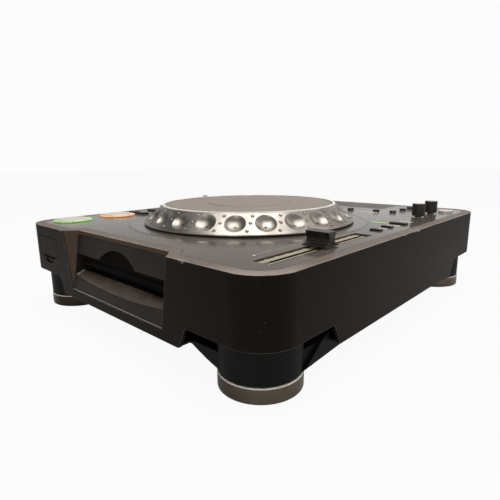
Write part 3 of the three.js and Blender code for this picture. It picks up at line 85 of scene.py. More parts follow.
# Openings in the walls: least x and z, then greatest
DOOR = (-132, 55, -92, 73)
DOOR_GAP = 0.2
JACKS = (-126, 43, -50, 63)
INLET = (84.7, 44.2, 109.3, 61.8)
ROCKER = (55.9, 42.6, 68.1, 63.4)
SOCKET_SHARES = (-0.37, -0.13, 0.13, 0.37)
SOCKET_Y = 171.7

# Front recess and disc slot
RECESS_HALF = 67
RECESS_DEPTH = 10.5
RECESS_FLARE_RATE = 10 / 10.5
RECESS_FOOT_DEPTH = 1
RECESS_FOOT_Z = 31
SLOT_BACK = 16.5
SLOT_HALF = 65.2
SILL_Z = 39.4
SILL_SAG = 3.6
MOUTH_TOP = 63
NOTCH_HALF = 27
NOTCH_TOP = 73.5
SEAL_FRONT = -173.48
RAMP_TOP = 46.7
CHEEK_Z = (38, 66)
CHEEK_THICK = 1.5

# Lower case, whose inner walls are open for half a length each way from the middle
LOWER_EASE = 0.35
LEG_INSET = 34
LEG_R = 27.5
LEG_TOP_Z = 39
LEG_FOOT_Z = 12.3
FUNNEL_Z = 13.8
FUNNEL_RATE = 0.52
PAN_FOOT_Z = 23.3
PAN_TOP_Z = 25.8
PAN_LIP = 10
WALLS_INSET = 22
WALLS_THICK = 2.5
WALLS_OPEN_HALF = (80, 105)
BRACE_X = (147.5, 152.5)

# Jog wheel
JOG = (6, -32)
JOG_BASE = 84.4
JOG_TOP = 100.7
JOG_EDGE = 1
JOG_R = 103
JOG_RIM_R = 84.4
POST_R = 12
DIMPLES = 24
DIMPLE_DEPTH = 3.4
SURROUND_R = 116

# Deck pieces
KEY_FLANGE = 1.2
KEY_CLEAR = 0.35
KEY_CORNER = 1.2
RING_TUBE_R = 17.7
KNOB_HOLE_R = 3.35
LEVER_HOLE = (2.85, 7.25)
HOLE_CORNER = 0.8
COLUMN_LEFT = -132
COLUMN_RIGHT = 134
FADER_Y = -97
SCALE_HALF = 58
LEVER_Y = 30
WINDOW = (-60, 132, 70, 174)
WINDOW_LEDGE = 3
TROUGH = (126.5, -158.5, 141.5, -35.5)
TROUGH_INK_Z = (81.7, 81.9)

ROUND_KEYS = (
    "loop_in", "loop_out", "reloop", "time_mode_button", "call_back_button",
    "call_forward_button", "memory_button", "delete_button", "eject_button",
)
SQUARE_KEYS = (
    "search_reverse", "search_forward", "track_reverse", "track_forward",
    "hot_cue_a", "hot_cue_b", "hot_cue_c",
    "jog_mode_button", "master_tempo_button", "tempo_range_button",
)
SILVER_KEYS = (
    "loop_in", "loop_out", "reloop", "eject_button", "hot_cue_a", "hot_cue_b", "hot_cue_c",
)
KNOBS = ("touch_brake_knob", "release_start_knob")

# Camera, matched to the photograph: place in metres, turn, tilt and roll in degrees, lens
CAMERA_PLACE = (0.28589, -0.33106, 0.14135)
CAMERA_ANGLES = (43.01, 12.41, -0.63)
CAMERA_LENS = 29.29


def linear(hex_colour):
    """A colour written as six sRGB hex digits, turned to Blender's linear values."""
    values = []
    for start in (1, 3, 5):
        share = int(hex_colour[start:start + 2], 16) / 255
        values.append(share / 12.92 if share <= 0.04045 else ((share + 0.055) / 1.055) ** 2.4)
    return (*values, 1.0)


# Selecting and editing


def deselect():
    bpy.ops.object.select_all(action="DESELECT")


def pick(piece):
    """Selects one piece and no other."""
    deselect()
    bpy.context.view_layer.objects.active = piece
    piece.select_set(True)


def edit(piece):
    pick(piece)
    bpy.ops.object.mode_set(mode="EDIT")


def leave_edit():
    bpy.ops.object.mode_set(mode="OBJECT")


def pick_edges(piece, test):
    """Selects the edges of the piece being edited for which the test holds, and no others."""
    bpy.ops.mesh.select_mode(type="EDGE")
    bpy.ops.mesh.select_all(action="DESELECT")
    mesh = bmesh.from_edit_mesh(piece.data)
    for edge in mesh.edges:
        edge.select_set(test(edge))
    bmesh.update_edit_mesh(piece.data)


def added(name):
    """The primitive that was just added, named, with its place moved into its mesh."""
    piece = bpy.context.view_layer.objects.active
    piece.name = name
    bpy.ops.object.transform_apply(location=True, rotation=True, scale=True)
    return piece


# Shapes, all in millimetres


def block(name, low, high, corner=0.0, segments=8):
    """A block between two corners whose upright edges are rounded."""
    deselect()
    bpy.ops.mesh.primitive_cube_add(
        size=1,
        location=[(a + b) / 2 * MM for a, b in zip(low, high)],
        scale=[(b - a) * MM for a, b in zip(low, high)],
    )
    piece = added(name)
    if corner:
        edit(piece)
        pick_edges(piece, lambda e: (e.verts[0].co - e.verts[1].co).xy.length < 1e-7)
        bpy.ops.mesh.bevel(offset=corner * MM, segments=segments, affect="EDGES")
        leave_edit()
    return piece


def slab(name, inset, foot, top, corner, segments):
    """A block with the case's plan less an inset all round. The corner is the case's own."""
    x, y = WIDTH / 2 - inset, DEPTH / 2 - inset
    return block(name, (-x, -y, foot), (x, y, top), corner - inset, segments)


def lathe(name, profile, centre=(0, 0), steps=96, closed=True):
    """A turned piece: a circle carried from one (radius, height) of the profile to the next."""
    x, y = centre[0] * MM, centre[1] * MM
    radius, height = profile[0]
    deselect()
    bpy.ops.mesh.primitive_circle_add(
        vertices=steps, radius=radius * MM, location=(x, y, height * MM),
        fill_type="NOTHING" if closed else "NGON",
    )
    piece = added(name)
    edit(piece)
    bpy.ops.mesh.select_all(action="SELECT")
    for next_radius, next_height in profile[1:] + (profile[:1] if closed else []):
        rise = (0, 0, (next_height - height) * MM)
        bpy.ops.mesh.extrude_edges_move(TRANSFORM_OT_translate={"value": rise})
        share = next_radius / radius
        bpy.ops.transform.resize(
            value=(share, share, 1), center_override=(x, y, next_height * MM),
        )
        radius, height = next_radius, next_height
    if not closed:
        bpy.ops.mesh.edge_face_add()
    bpy.ops.mesh.select_all(action="SELECT")
    bpy.ops.mesh.remove_doubles(threshold=1e-6)
    bpy.ops.mesh.normals_make_consistent(inside=False)
    leave_edit()
    return piece


def curve(start, bend, end, steps):
    """Points of a smooth curve from the start to the end, drawn towards a bend between them."""
    shares = (step / steps for step in range(steps + 1))
    return [
        tuple(start * (1 - t) ** 2 + bend * 2 * t * (1 - t) + end * t ** 2) for t in shares
    ]


def softened(profile, radius, closed=True):
    """The profile with its corners rounded, as on moulded and turned edges."""
    points = []
    count = len(profile)
    for i, corner in enumerate(profile):
        if not closed and i in (0, count - 1):
            points.append(corner)
            continue
        here = Vector(corner)
        before = Vector(profile[i - 1]) - here
        after = Vector(profile[(i + 1) % count]) - here
        reach = min(radius, before.length * 0.45, after.length * 0.45)
        start, end = here + before.normalized() * reach, here + after.normalized() * reach
        points += curve(start, here, end, 3)
    return points


def on_axis(axis, along, u, v):
    """A point from its place along an axis and across it."""
    spot = {"X": (along, u, v), "Y": (u, along, v), "Z": (u, v, along)}[axis]
    return Vector(spot) * MM


def prism(name, outline, axis, start, end, end_outline=None):
    """An outline across an axis, extruded between two places on it, with its far end reshaped."""
    deselect()
    bpy.ops.mesh.primitive_circle_add(vertices=len(outline), radius=MM, fill_type="NGON")
    piece = added(name)
    for vertex, (u, v) in zip(piece.data.vertices, outline):
        vertex.co = on_axis(axis, start, u, v)
    edit(piece)
    bpy.ops.mesh.select_all(action="SELECT")
    step = on_axis(axis, end - start, 0, 0)
    bpy.ops.mesh.extrude_region_move(TRANSFORM_OT_translate={"value": tuple(step)})
    bpy.ops.mesh.select_all(action="SELECT")
    bpy.ops.mesh.normals_make_consistent(inside=False)
    leave_edit()
    if end_outline:
        for near, far in zip(outline, end_outline):
            spot = on_axis(axis, end, *near)
            for vertex in piece.data.vertices:
                if (vertex.co - spot).length < 1e-6:
                    vertex.co = on_axis(axis, end, *far)
                    break
    return piece


def drum(name, axis, centre, radius, start, end, steps=48):
    """A plain drum along an axis, used as a cutter or as the start of a shaped piece."""
    turns = (math.tau * i / steps for i in range(steps))
    circle = [
        (centre[0] + radius * math.cos(turn), centre[1] + radius * math.sin(turn))
        for turn in turns
    ]
    return prism(name, circle, axis, start, end)


def joined(pieces):
    pick(pieces[0])
    for piece in pieces:
        piece.select_set(True)
    bpy.ops.object.join()
    return bpy.context.view_layer.objects.active


def apply_modifier(piece, kind, **settings):
    pick(piece)
    modifier = piece.modifiers.new(kind.lower(), kind)
    for name, value in settings.items():
        setattr(modifier, name, value)
    bpy.ops.object.modifier_apply(modifier=modifier.name)


def combine(piece, tools, operation="DIFFERENCE"):
    """Cuts the piece with the tools, which don't overlap each other, and removes them."""
    tool = joined(tools) if len(tools) > 1 else tools[0]
    apply_modifier(piece, "BOOLEAN", operation=operation, object=tool, solver="EXACT")
    bpy.data.objects.remove(tool)
    return piece


def ease(piece, width, segments=2, angle=35, worn=None):
    """Rounds the sharp edges, as paint and moulding do, in a finish of their own if one is named,
    which on the case is rubbed paint with a painted highlight.
    """
    if worn:
        piece.data.materials.append(None)
        piece.data.materials.append(finishes[worn])
    apply_modifier(
        piece, "BEVEL", width=width * MM, segments=segments, material=1 if worn else -1,
        limit_method="ANGLE", angle_limit=math.radians(angle),
    )
    return piece


def complete(piece, name, finish, node=None, body="case", even=True):
    """Names, colours and smooths a piece, sets its body and hides the solid it replaces."""
    if not piece.data.polygons:
        raise RuntimeError(f"{name} has no faces left")
    piece.name = name
    piece.data.name = name
    if piece.data.materials:
        piece.data.materials[0] = finishes[finish]
    else:
        piece.data.materials.append(finishes[finish])
    pick(piece)
    bpy.ops.object.shade_smooth_by_angle(angle=math.radians(35))
    if even:
        apply_modifier(piece, "WEIGHTED_NORMAL", keep_sharp=True)
    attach(piece, body)
    if node:
        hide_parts(node)


def box_of(node):
    """The least and greatest corner of a solid."""
    return [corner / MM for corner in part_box(node)]


def middle(node):
    low, high = box_of(node)
    return (low.x + high.x) / 2, (low.y + high.y) / 2


# Materials


def add_node(tree, kind, inputs, **settings):
    """Adds one shader node with its settings, fills or links its inputs, gives its outputs."""
    made = tree.nodes.new(f"ShaderNode{kind}")
    for name, value in settings.items():
        setattr(made, name, value)
    for socket, source in inputs.items():
        if isinstance(source, bpy.types.NodeSocket):
            tree.links.new(source, made.inputs[socket])
        else:
            made.inputs[socket].default_value = source
    return made.outputs


def new_finish(name, roughness, metallic=0.0, specular=0.5):
    material = bpy.data.materials.new(name)
    material.use_nodes = True
    tree = material.node_tree
    shader = tree.nodes["Principled BSDF"]
    shader.inputs["Roughness"].default_value = roughness
    shader.inputs["Metallic"].default_value = metallic
    shader.inputs["Specular IOR Level"].default_value = specular
    return material, tree, shader.inputs, add_node(tree, "TexCoord", {})["Object"]


def patches(tree, place, size, low=0.35, high=0.65, detail=2.0, to=(0.0, 1.0)):
    """Noise in patches about as wide as the size, stretched from its limits to two others."""
    cloud = add_node(tree, "TexNoise", {
        "Vector": place, "Scale": 1 / (size * MM), "Detail": detail, "Roughness": 0.55,
    })[0]
    return add_node(tree, "MapRange", {
        "Value": cloud, "From Min": low, "From Max": high, "To Min": to[0], "To Max": to[1],
    })[0]


def where(tree, *slopes):
    """A mask: the product of slopes, each from nought to one between two limits of a value."""
    share = 1.0
    for value, start, end in slopes:
        slope = add_node(tree, "MapRange", {"Value": value, "From Min": start, "From Max": end})
        share = add_node(tree, "Math", {0: slope[0], 1: share}, operation="MULTIPLY")[0]
    return share


def laid(tree, base, colour, mask, strength=1.0):
    """A colour laid over another where the mask is. Each is hex digits, values or a socket."""
    share = add_node(tree, "Math", {0: mask, 1: strength}, operation="MULTIPLY")[0]
    base, colour = (linear(c) if isinstance(c, str) else c for c in (base, colour))
    return add_node(tree, "Mix", {0: share, 6: base, 7: colour}, data_type="RGBA")[2]


def grain(tree, sockets, place, size, sheen, relief, detail=3.0):
    """A fine grain: it varies the roughness between two values and stands up by the relief."""
    rough = patches(tree, place, size, 0.3, 0.7, detail, sheen)
    height = patches(tree, place, size, 0.0, 1.0, detail)
    bump = add_node(tree, "Bump", {"Height": height, "Distance": relief * MM})[0]
    tree.links.new(rough, sockets["Roughness"])
    tree.links.new(bump, sockets["Normal"])


def grained(
    name, colour, fleck, patch, fine, relief, roughness, sway=0.06, metallic=0.0, specular=0.5,
):
    """A moulded, sprayed or plated surface: patches of two near colours over a fine grain.

    The grain is drawn somewhat coarser than the real one, so that it shows.
    """
    material, tree, sockets, place = new_finish(name, roughness, metallic, specular)
    base = laid(tree, colour, fleck, patches(tree, place, patch))
    tree.links.new(base, sockets["Base Color"])
    grain(tree, sockets, place, fine, (roughness - sway, roughness + sway), relief)
    return material


def case_paint():
    """Sprayed satin paint on ABS: nearly black walls, a lighter rim band, chips along its edge."""
    colours = bpy.context.scene.player_colours
    material, tree, sockets, place = new_finish("Satin sprayed ABS", 0.42, specular=0.06)
    x, y, height = add_node(tree, "SeparateXYZ", {0: place})
    wall = laid(tree, colours.wall[:], "#17120f", patches(tree, place, 60))
    # Specks of dust lie all over the walls.
    wall = laid(tree, wall, "#8a8078", patches(tree, place, 1.1, 0.77, 0.79, 1.0), 0.4)
    # The sides of the front recess are painted paler, a painted highlight where light falls on
    # them.
    aside = add_node(tree, "Math", {0: x, 1: x}, operation="MULTIPLY")[0]
    recess = where(
        tree, (aside, 0.0062, 0.0061), (y, -0.1847, -0.1835), (y, -0.171, -0.172),
    )
    wall = laid(tree, wall, "#55493f", recess, 0.8)
    # The band round the rim ends in a ragged line, and its near corner is painted palest as a
    # highlight.
    ragged = patches(tree, place, 2.2, 0.0, 1.0, 4.0, (0.0, 0.0006))
    level = add_node(tree, "Math", {0: height, 1: ragged})[0]
    rim = laid(tree, colours.band[:], "#7d746e", patches(tree, place, 24, 0.3, 0.7, 3.0))
    nearness = add_node(tree, "Math", {0: x, 1: y}, operation="SUBTRACT")[0]
    rim = laid(tree, rim, "#c0b8b1", where(tree, (nearness, 0.295, 0.33)), 0.45)
    painted = laid(tree, wall, rim, where(tree, (level, 0.08275, 0.08295)))
    # Chips gather below the rim, most of them halfway along the right side.
    from_middle = add_node(tree, "Math", {0: y, 1: y}, operation="MULTIPLY")[0]
    knocked = where(tree, (from_middle, 0.0009, 0.0002), (x, 0.15, 0.156))
    flakes = patches(tree, place, 9.0, 0.0, 1.0, 4.0)
    flakes = add_node(tree, "Math", {0: knocked, 1: 0.12, 2: flakes}, operation="MULTIPLY_ADD")[0]
    chips = where(tree, (height, 0.0795, 0.083), (flakes, 0.64, 0.71))
    painted = laid(tree, painted, "#8f857d", where(tree, (chips, 0.45, 0.5)))
    tree.links.new(painted, sockets["Base Color"])
    grain(tree, sockets, place, 0.7, (0.36, 0.48), 0.012)
    return material


def edge_wear_and_highlight():
    """Paint rubbed thin along the edges, and painted highlights there: bright round the rim, a grey
    line on the dark walls.
    """
    material, tree, sockets, place = new_finish("Rubbed paint edge with painted highlight", 0.4, specular=0.3)
    height = add_node(tree, "SeparateXYZ", {0: place})["Z"]
    low = laid(tree, "#2f2a26", "#6b625b", patches(tree, place, 18, 0.38, 0.6, 4.0))
    high = laid(tree, "#8d847d", "#c2bab3", patches(tree, place, 18, 0.35, 0.6, 4.0))
    edge = laid(tree, low, high, where(tree, (height, 0.0818, 0.0826)))
    tree.links.new(edge, sockets["Base Color"])
    grain(tree, sockets, place, 0.7, (0.34, 0.46), 0.012)
    return material


def deck_lacquer():
    """Semi-gloss metallic lacquer: a fine flake, rubbed patches, a soft mirror of the wheel.

    Its shading falls away from the wheel by so many millimetres, which squeezes the mirrored
    dimples as in the real sheet. The mesh stays flat.
    """
    colours = bpy.context.scene.player_colours
    material, tree, sockets, place = new_finish("Metallic lacquer", 0.25, 0.2, 0.25)
    # The flake is drawn coarser than the real one, so that it shows.
    base = laid(tree, colours.deck[:], "#5d5651", patches(tree, place, 0.8))
    base = laid(tree, base, "#7f766f", patches(tree, place, 45, 0.5, 0.75, 3.0), 0.3)
    # Small scuffs show the paler undercoat.
    base = laid(tree, base, "#b9b1aa", patches(tree, place, 1.6, 0.77, 0.79, 1.0), 0.5)
    tree.links.new(base, sockets["Base Color"])
    smears = patches(tree, place, 14, 0.3, 0.7, 3.0, (0.11, 0.16))
    tree.links.new(smears, sockets["Roughness"])
    wheel = (JOG[0] * MM, JOG[1] * MM, RIM_Z * MM)
    from_wheel = add_node(tree, "VectorMath", {0: place, 1: wheel}, operation="DISTANCE")["Value"]
    relief, fall = 0.008, 10
    drawn = where(tree, (from_wheel, 0.25, 0.1))
    flake = patches(tree, place, 0.5, 0.0, 1.0)
    height = add_node(
        tree, "Math", {0: drawn, 1: fall / relief, 2: flake}, operation="MULTIPLY_ADD",
    )[0]
    bump = add_node(tree, "Bump", {"Height": height, "Distance": relief * MM})[0]
    tree.links.new(bump, sockets["Normal"])
    return material


def silver_plating():
    """Silver plating worn by fingers: mirror-like but clouded, with small pits and marks."""
    material, tree, sockets, place = new_finish("Silver plating", 0.28, 1.0)
    base = laid(tree, "#b1ada8", "#928d87", patches(tree, place, 14, 0.3, 0.7, 4.0))
    base = laid(tree, base, "#5f5a55", patches(tree, place, 0.9, 0.6, 0.7, 3.0), 0.4)
    tree.links.new(base, sockets["Base Color"])
    grain(tree, sockets, place, 1.4, (0.28, 0.42), 0.016, 4.0)
    return material


def dark_nickel():
    """Turned aluminium plated in dark nickel: fine rings from the lathe round each foot."""
    material, tree, sockets, place = new_finish("Dark nickel plate", 0.3, 1.0)
    # The rings are drawn wider than a lathe leaves them, so that they show.
    turned = add_node(tree, "Mapping", {"Vector": place, "Scale": (0.02, 0.02, 1.0)})[0]
    rings = patches(tree, turned, 0.35, 0.3, 0.7)
    x, _, height = add_node(tree, "SeparateXYZ", {0: place})
    # The feet are painted lighter on the fader's side, a painted light, and the upper edge of all
    # four is painted as a pale highlight line.
    painted_shade_side = laid(tree, "#342d27", "#453d36", rings)
    painted_lit_side = laid(tree, "#575048", "#70685f", rings)
    base = laid(tree, painted_shade_side, painted_lit_side, where(tree, (x, 0.108, 0.142)))
    edge = where(tree, (height, 0.0111, 0.0113))
    plated = add_node(tree, "MapRange", {"Value": edge, "To Min": 1.0, "To Max": 0.1})[0]
    tree.links.new(laid(tree, base, "#f4efe8", edge), sockets["Base Color"])
    tree.links.new(plated, sockets["Metallic"])
    cloud = patches(tree, place, 9, 0.3, 0.7, 3.0, (0.22, 0.38))
    tree.links.new(cloud, sockets["Roughness"])
    bump = add_node(tree, "Bump", {"Height": rings, "Distance": 0.006 * MM})[0]
    tree.links.new(bump, sockets["Normal"])
    return material


def lit_acrylic(name, colour, pale):
    """Translucent acrylic over a lamp: clouded by its own moulding and evenly bright."""
    material, tree, sockets, place = new_finish(name, 0.3)
    base = laid(tree, colour, pale, patches(tree, place, 3, 0.3, 0.7))
    tree.links.new(base, sockets["Base Color"])
    tree.links.new(base, sockets["Emission Color"])
    sockets["Emission Strength"].default_value = 0.45
    height = patches(tree, place, 0.8, 0.0, 1.0)
    bump = add_node(tree, "Bump", {"Height": height, "Distance": 0.01 * MM})[0]
    tree.links.new(bump, sockets["Normal"])
    return material


def smoked_acrylic():
    """Polished acrylic, dark behind and mirror-like at a low angle, with wiping marks."""
    material, tree, sockets, place = new_finish("Smoked acrylic", 0.3)
    wiped = add_node(tree, "Mapping", {"Vector": place, "Scale": (1.0, 0.1, 1.0)})[0]
    base = laid(tree, "#1b1917", "#4a3f37", patches(tree, wiped, 4, 0.0, 1.0, 4.0))
    tree.links.new(base, sockets["Base Color"])
    rough = patches(tree, wiped, 4, 0.35, 0.75, 4.0, (0.3, 0.42))
    tree.links.new(rough, sockets["Roughness"])
    return material


finishes = {}


def make_finishes():
    """Every finish, by the name that the pieces use for it."""
    colours = bpy.context.scene.player_colours
    finishes.update({
        "case": case_paint(),
        "case_edge": edge_wear_and_highlight(),
        "deck": deck_lacquer(),
        "plating": silver_plating(),
        "nickel": dark_nickel(),
        "green": lit_acrylic("Green lit acrylic", "#76ab5c", "#b3d69c"),
        "orange": lit_acrylic("Orange lit acrylic", "#cf8450", "#e6bb95"),
        "smoked": smoked_acrylic(),
        # Gloss lacquer round the wheel mirrors the dimples above it.
        "surround": grained(
            "Gloss taupe lacquer", "#5f5853", "#6b645e", 20, 0.6, 0.004, 0.14, 0.04, metallic=0.3,
        ),
        # The rim's edge of pale metal, painted near white and matt as a highlight.
        "pale_rim_highlight": grained("Pale metal with painted highlight", "#fdfbf8", "#f0ece7", 9, 0.8, 0.01, 0.4),
        # Painted shade round the foot of each stud, laid on the dark seats there.
        "stud_shade": grained("Painted stud shade", "#2a2623", "#3a3531", 1.5, 0.3, 0.01, 0.6, specular=0.2),
        # Satin lacquer of the wheel's top, a little warmer than the deck.
        "jog_top": grained(
            "Satin taupe lacquer", colours.wheel_top[:], "#938982", 18, 0.5, 0.008, 0.4,
            metallic=0.2, specular=0.3,
        ),
        # Bezel of the slot, a browner and lighter moulding than the case.
        "bezel": grained(
            "Grey-brown satin ABS", "#211c19", "#29241f", 25, 0.6, 0.015, 0.42, specular=0.15,
        ),
        # Spark-eroded ABS of the lower case, bluish black and matt.
        "moulded": grained(
            "Moulded black ABS", "#0f1011", "#151618", 30, 0.6, 0.03, 0.55, specular=0.12,
        ),
        # Keys, lever and fader cap of the same fine matt ABS.
        "key_black": grained("Matt black key ABS", "#151312", "#1d1b19", 6, 0.4, 0.015, 0.3),
        # Sprayed silver of the larger keys, near white and hardly metallic: partly their own
        # silver, partly a painted reflection of pale surroundings.
        "key_silver": grained(
            "Silver sprayed keys", "#ebe7df", "#dbd6ce", 5, 0.35, 0.006, 0.3, metallic=0.15,
        ),
        # Bare moulding of the disc ramp, worn shiny by discs.
        "ramp": grained(
            "Worn ramp ABS", "#4d443d", "#5a5048", 8, 0.7, 0.02, 0.4, 0.1, specular=0.45,
        ),
        # Pressed felt of the dust seal, drawn with a coarse nap so that it shows.
        "felt": grained(
            "Black felt", "#0b0a0a", "#141211", 1.2, 0.3, 0.12, 0.95, 0.04, specular=0.1,
        ),
        # Rubber of the pads and the roller, matt and slightly greyed.
        "rubber": grained("Black rubber", "#1c1c1b", "#242322", 4, 0.5, 0.03, 0.8, specular=0.3),
        # Pad printing: thin, slightly uneven ink, yellower beside the fader.
        "ink": grained("White pad printing", "#e6e2dc", "#d2cdc6", 1.5, 0.3, 0.004, 0.5),
        "cream": grained("Cream pad printing", "#ddd4bd", "#b5ab92", 0.9, 0.3, 0.004, 0.5),
        # The bead at the ramp's end and the line at the slot's foot are painted pale grey as
        # highlight lines.
        "bead": grained("Pale grey ABS for painted highlights", "#b8b0a8", "#a39b93", 2, 0.3, 0.01, 0.4),
        # Zinc plate of screws and frames, bluish and unevenly dull.
        "steel": grained(
            "Zinc-plated steel", "#9ea1a3", "#8b8f92", 7, 0.5, 0.01, 0.32, 0.08, metallic=1.0,
        ),
        # Solder mask over copper: two greens where tracks run beneath.
        "board": grained("Green solder mask", "#1f4a30", "#28583b", 3, 0.4, 0.02, 0.4),
        # Gilt sleeves and moulded collars of the phono sockets.
        "brass": grained("Gilt brass", "#c79a4b", "#b3873c", 2, 0.3, 0.01, 0.28, metallic=1.0),
        "red": grained("Red moulded insulator", "#a3201c", "#8f1b18", 2, 0.3, 0.01, 0.45),
        "white": grained("White moulded insulator", "#dcd9d3", "#cbc8c2", 2, 0.3, 0.01, 0.45),
    })


# Case


def recess_plan(z, offset):
    """The front recess at one height, grown into the case by an offset."""
    rise = (z - RECESS_FOOT_Z) / (RIM_Z - RECESS_FOOT_Z)
    depth = RECESS_FOOT_DEPTH + (RECESS_DEPTH - RECESS_FOOT_DEPTH) * rise
    half = RECESS_HALF + offset * math.tan(math.atan(RECESS_FLARE_RATE) / 2)
    back = FRONT + depth + offset
    mouth = FRONT - REACH
    wide = half + (back - mouth) * RECESS_FLARE_RATE
    return [(-half, back), (half, back), (wide, mouth), (-wide, mouth)]


def recess_face(z):
    return recess_plan(z, 0)[0][1]


def recess_tool(offset, foot, top):
    return prism(
        "recess", recess_plan(foot, offset), "Z", foot, top, recess_plan(top, offset),
    )


def notch_tools(grow):
    """The open corners below the rim, first through the side walls and then through the ends."""
    top, foot = CORNER_EDGE_Z + grow, SKIRT_Z - REACH
    inward = grow + (top - foot) * SKIRT_SLANT / (CORNER_EDGE_Z - SKIRT_Z)
    through = CORNER_R + grow
    both = []
    for axis, along, across in (("X", WIDTH / 2, DEPTH / 2), ("Y", DEPTH / 2, WIDTH / 2)):
        tools = []
        for side in (-1, 1):
            for end in (-1, 1):
                outline = [
                    (end * (across + REACH), top),
                    (end * (across - SKIRT_START - grow), top),
                    (end * (across - SKIRT_START - inward), foot),
                    (end * (across + REACH), foot),
                ]
                start, stop = side * (along - through), side * (along + REACH)
                tools.append(prism("notch", outline, axis, start, stop))
        both.append(tools)
    return both


def key_size(node):
    """Centre and half sizes of the part of a key that stands in its hole."""
    low, high = box_of(node)
    centre = (low + high) / 2
    return centre.x, centre.y, (high.x - low.x) / 2 - KEY_FLANGE, (high.y - low.y) / 2 - KEY_FLANGE


def deck_tools():
    """One cutter for each key, ring, knob, lever and the fader."""
    foot, top = DECK_UNDER - REACH, RIM_Z + REACH
    tools = []
    for node in ROUND_KEYS:
        x, y, half, _ = key_size(node)
        tools.append(drum("hole", "Z", (x, y), half + KEY_CLEAR, foot, top, 40))
    for node in SQUARE_KEYS:
        x, y, wide, long = key_size(node)
        low = (x - wide - KEY_CLEAR, y - long - KEY_CLEAR, foot)
        high = (x + wide + KEY_CLEAR, y + long + KEY_CLEAR, top)
        tools.append(block("hole", low, high, KEY_CORNER, 4))
    for node in ("play_ring", "cue_ring"):
        tools.append(drum("hole", "Z", middle(node), RING_TUBE_R + GAP, foot, top, 72))
    for node in KNOBS:
        tools.append(drum("hole", "Z", middle(node), KNOB_HOLE_R, foot, top, 24))
    wide, long = LEVER_HOLE
    lever = (COLUMN_LEFT - wide, LEVER_Y - long, COLUMN_LEFT + wide, LEVER_Y + long)
    for x0, y0, x1, y1 in (lever, TROUGH):
        tools.append(block("hole", (x0, y0, foot), (x1, y1, top), HOLE_CORNER, 3))
    return tools


class PLAYER_OT_case(bpy.types.Operator):
    """Build the painted upper case with its recess, open corners and openings"""

    bl_idname = "player.case"
    bl_label = "Upper Case"

    def execute(self, context):
        shell = slab("shell", 0, SKIRT_Z, RIM_Z, CORNER_R, 24)
        hollow = slab("hollow", WALL, SKIRT_Z - REACH, DECK_UNDER, CORNER_R, 12)
        combine(hollow, [recess_tool(WALL, RECESS_FOOT_Z - WALL, RIM_Z + REACH)])
        combine(shell, [hollow])
        combine(shell, [recess_tool(0, RECESS_FOOT_Z, RIM_Z + REACH)])
        for tools in notch_tools(0):
            combine(shell, tools)
        # The rounded edges take the rubbed paint finish, whose pale colour is partly a painted
        # highlight.
        ease(shell, context.scene.player_sizes.case_edge, 3, worn="case_edge")
        seat = slab("seat", BORDER - GAP, PLATE_FOOT - GAP, RIM_Z + REACH, CORNER_R, 16)
        combine(seat, [recess_tool(BORDER - GAP, PLATE_FOOT - REACH, RIM_Z + REACH * 2)])
        combine(shell, [seat])
        combine(shell, [block(
            "slot", (-RECESS_HALF, FRONT + RECESS_FOOT_DEPTH, RECESS_FOOT_Z),
            (RECESS_HALF, FRONT + SLOT_BACK, DECK_UNDER),
        )])
        combine(shell, deck_tools())
        x0, z0, x1, z1 = DOOR
        cuts = [block(
            "door", (x0 - DOOR_GAP, FRONT - REACH, z0 - DOOR_GAP),
            (x1 + DOOR_GAP, FRONT + WALL + REACH, z1 + DOOR_GAP), 1, 3,
        )]
        for left, foot, right, top in (JACKS, INLET, ROCKER):
            low, high = (left, REAR - WALL - REACH, foot), (right, REAR + REACH, top)
            cuts.append(block("rear", low, high))
        cuts.append(drum("post", "Z", JOG, POST_R, DECK_UNDER - REACH, RIM_Z, 32))
        left, near, right, far = WINDOW
        cuts.append(block(
            "ledge", (left + WINDOW_LEDGE, near + WINDOW_LEDGE, DECK_UNDER - REACH),
            (right - WINDOW_LEDGE, far - WINDOW_LEDGE, RIM_Z),
        ))
        combine(shell, cuts)
        # A shallow scoop and a grip below the door let a fingernail open it.
        middle_x, scoop_z, scoop_half, scoop_drop = (x0 + x1) / 2, 51.6, 10, 4
        turns = (math.pi + math.pi * i / 16 for i in range(17))
        scoop = [
            (middle_x + scoop_half * math.cos(turn), scoop_z + scoop_drop * math.sin(turn))
            for turn in turns
        ]
        grip_half, grip_foot, grip_top, grip_depth = 12, 52.6, 54.3, 2.2
        combine(shell, [
            prism("scoop", scoop, "Y", FRONT - REACH, FRONT + 1.2),
            block(
                "grip", (middle_x - grip_half, FRONT - REACH, grip_foot),
                (middle_x + grip_half, FRONT + grip_depth, grip_top),
            ),
        ])
        complete(shell, "upper_case_shell", "case", "upper_case")
        return {"FINISHED"}


class PLAYER_OT_deck(bpy.types.Operator):
    """Build the control plate let into the top of the case, and the window in it"""

    bl_idname = "player.deck"
    bl_label = "Control Plate"

    def execute(self, context):
        foot, top = PLATE_FOOT - REACH, RIM_Z + REACH
        plate = slab("plate", BORDER, PLATE_FOOT, RIM_Z, CORNER_R, 16)
        combine(plate, [recess_tool(BORDER, foot, top)])
        wheel = drum("wheel", "Z", JOG, SURROUND_R + GAP, foot, top, 192)
        x0, y0, x1, y1 = WINDOW
        corner = 2
        pane = block(
            "pane", (x0 - GAP, y0 - GAP, foot), (x1 + GAP, y1 + GAP, top), corner + GAP, 5,
        )
        combine(plate, [wheel, pane])
        combine(plate, deck_tools())
        ease(plate, context.scene.player_sizes.plate_edge)
        complete(plate, "control_plate_lacquered", "deck", "control_plate")
        glass = block("glass", (x0, y0, PLATE_FOOT), (x1, y1, RIM_Z), corner, 5)
        ease(glass, 0.25)
        complete(glass, "display_pane", "smoked", "display_window")
        return {"FINISHED"}


def corners():
    """Name, signs and centre of each of the four legs."""
    for side, sx in (("left", -1), ("right", 1)):
        for end, sy in (("front", -1), ("rear", 1)):
            centre = (sx * (WIDTH / 2 - LEG_INSET), sy * (DEPTH / 2 - LEG_INSET))
            yield f"{side}_{end}", sx, sy, centre


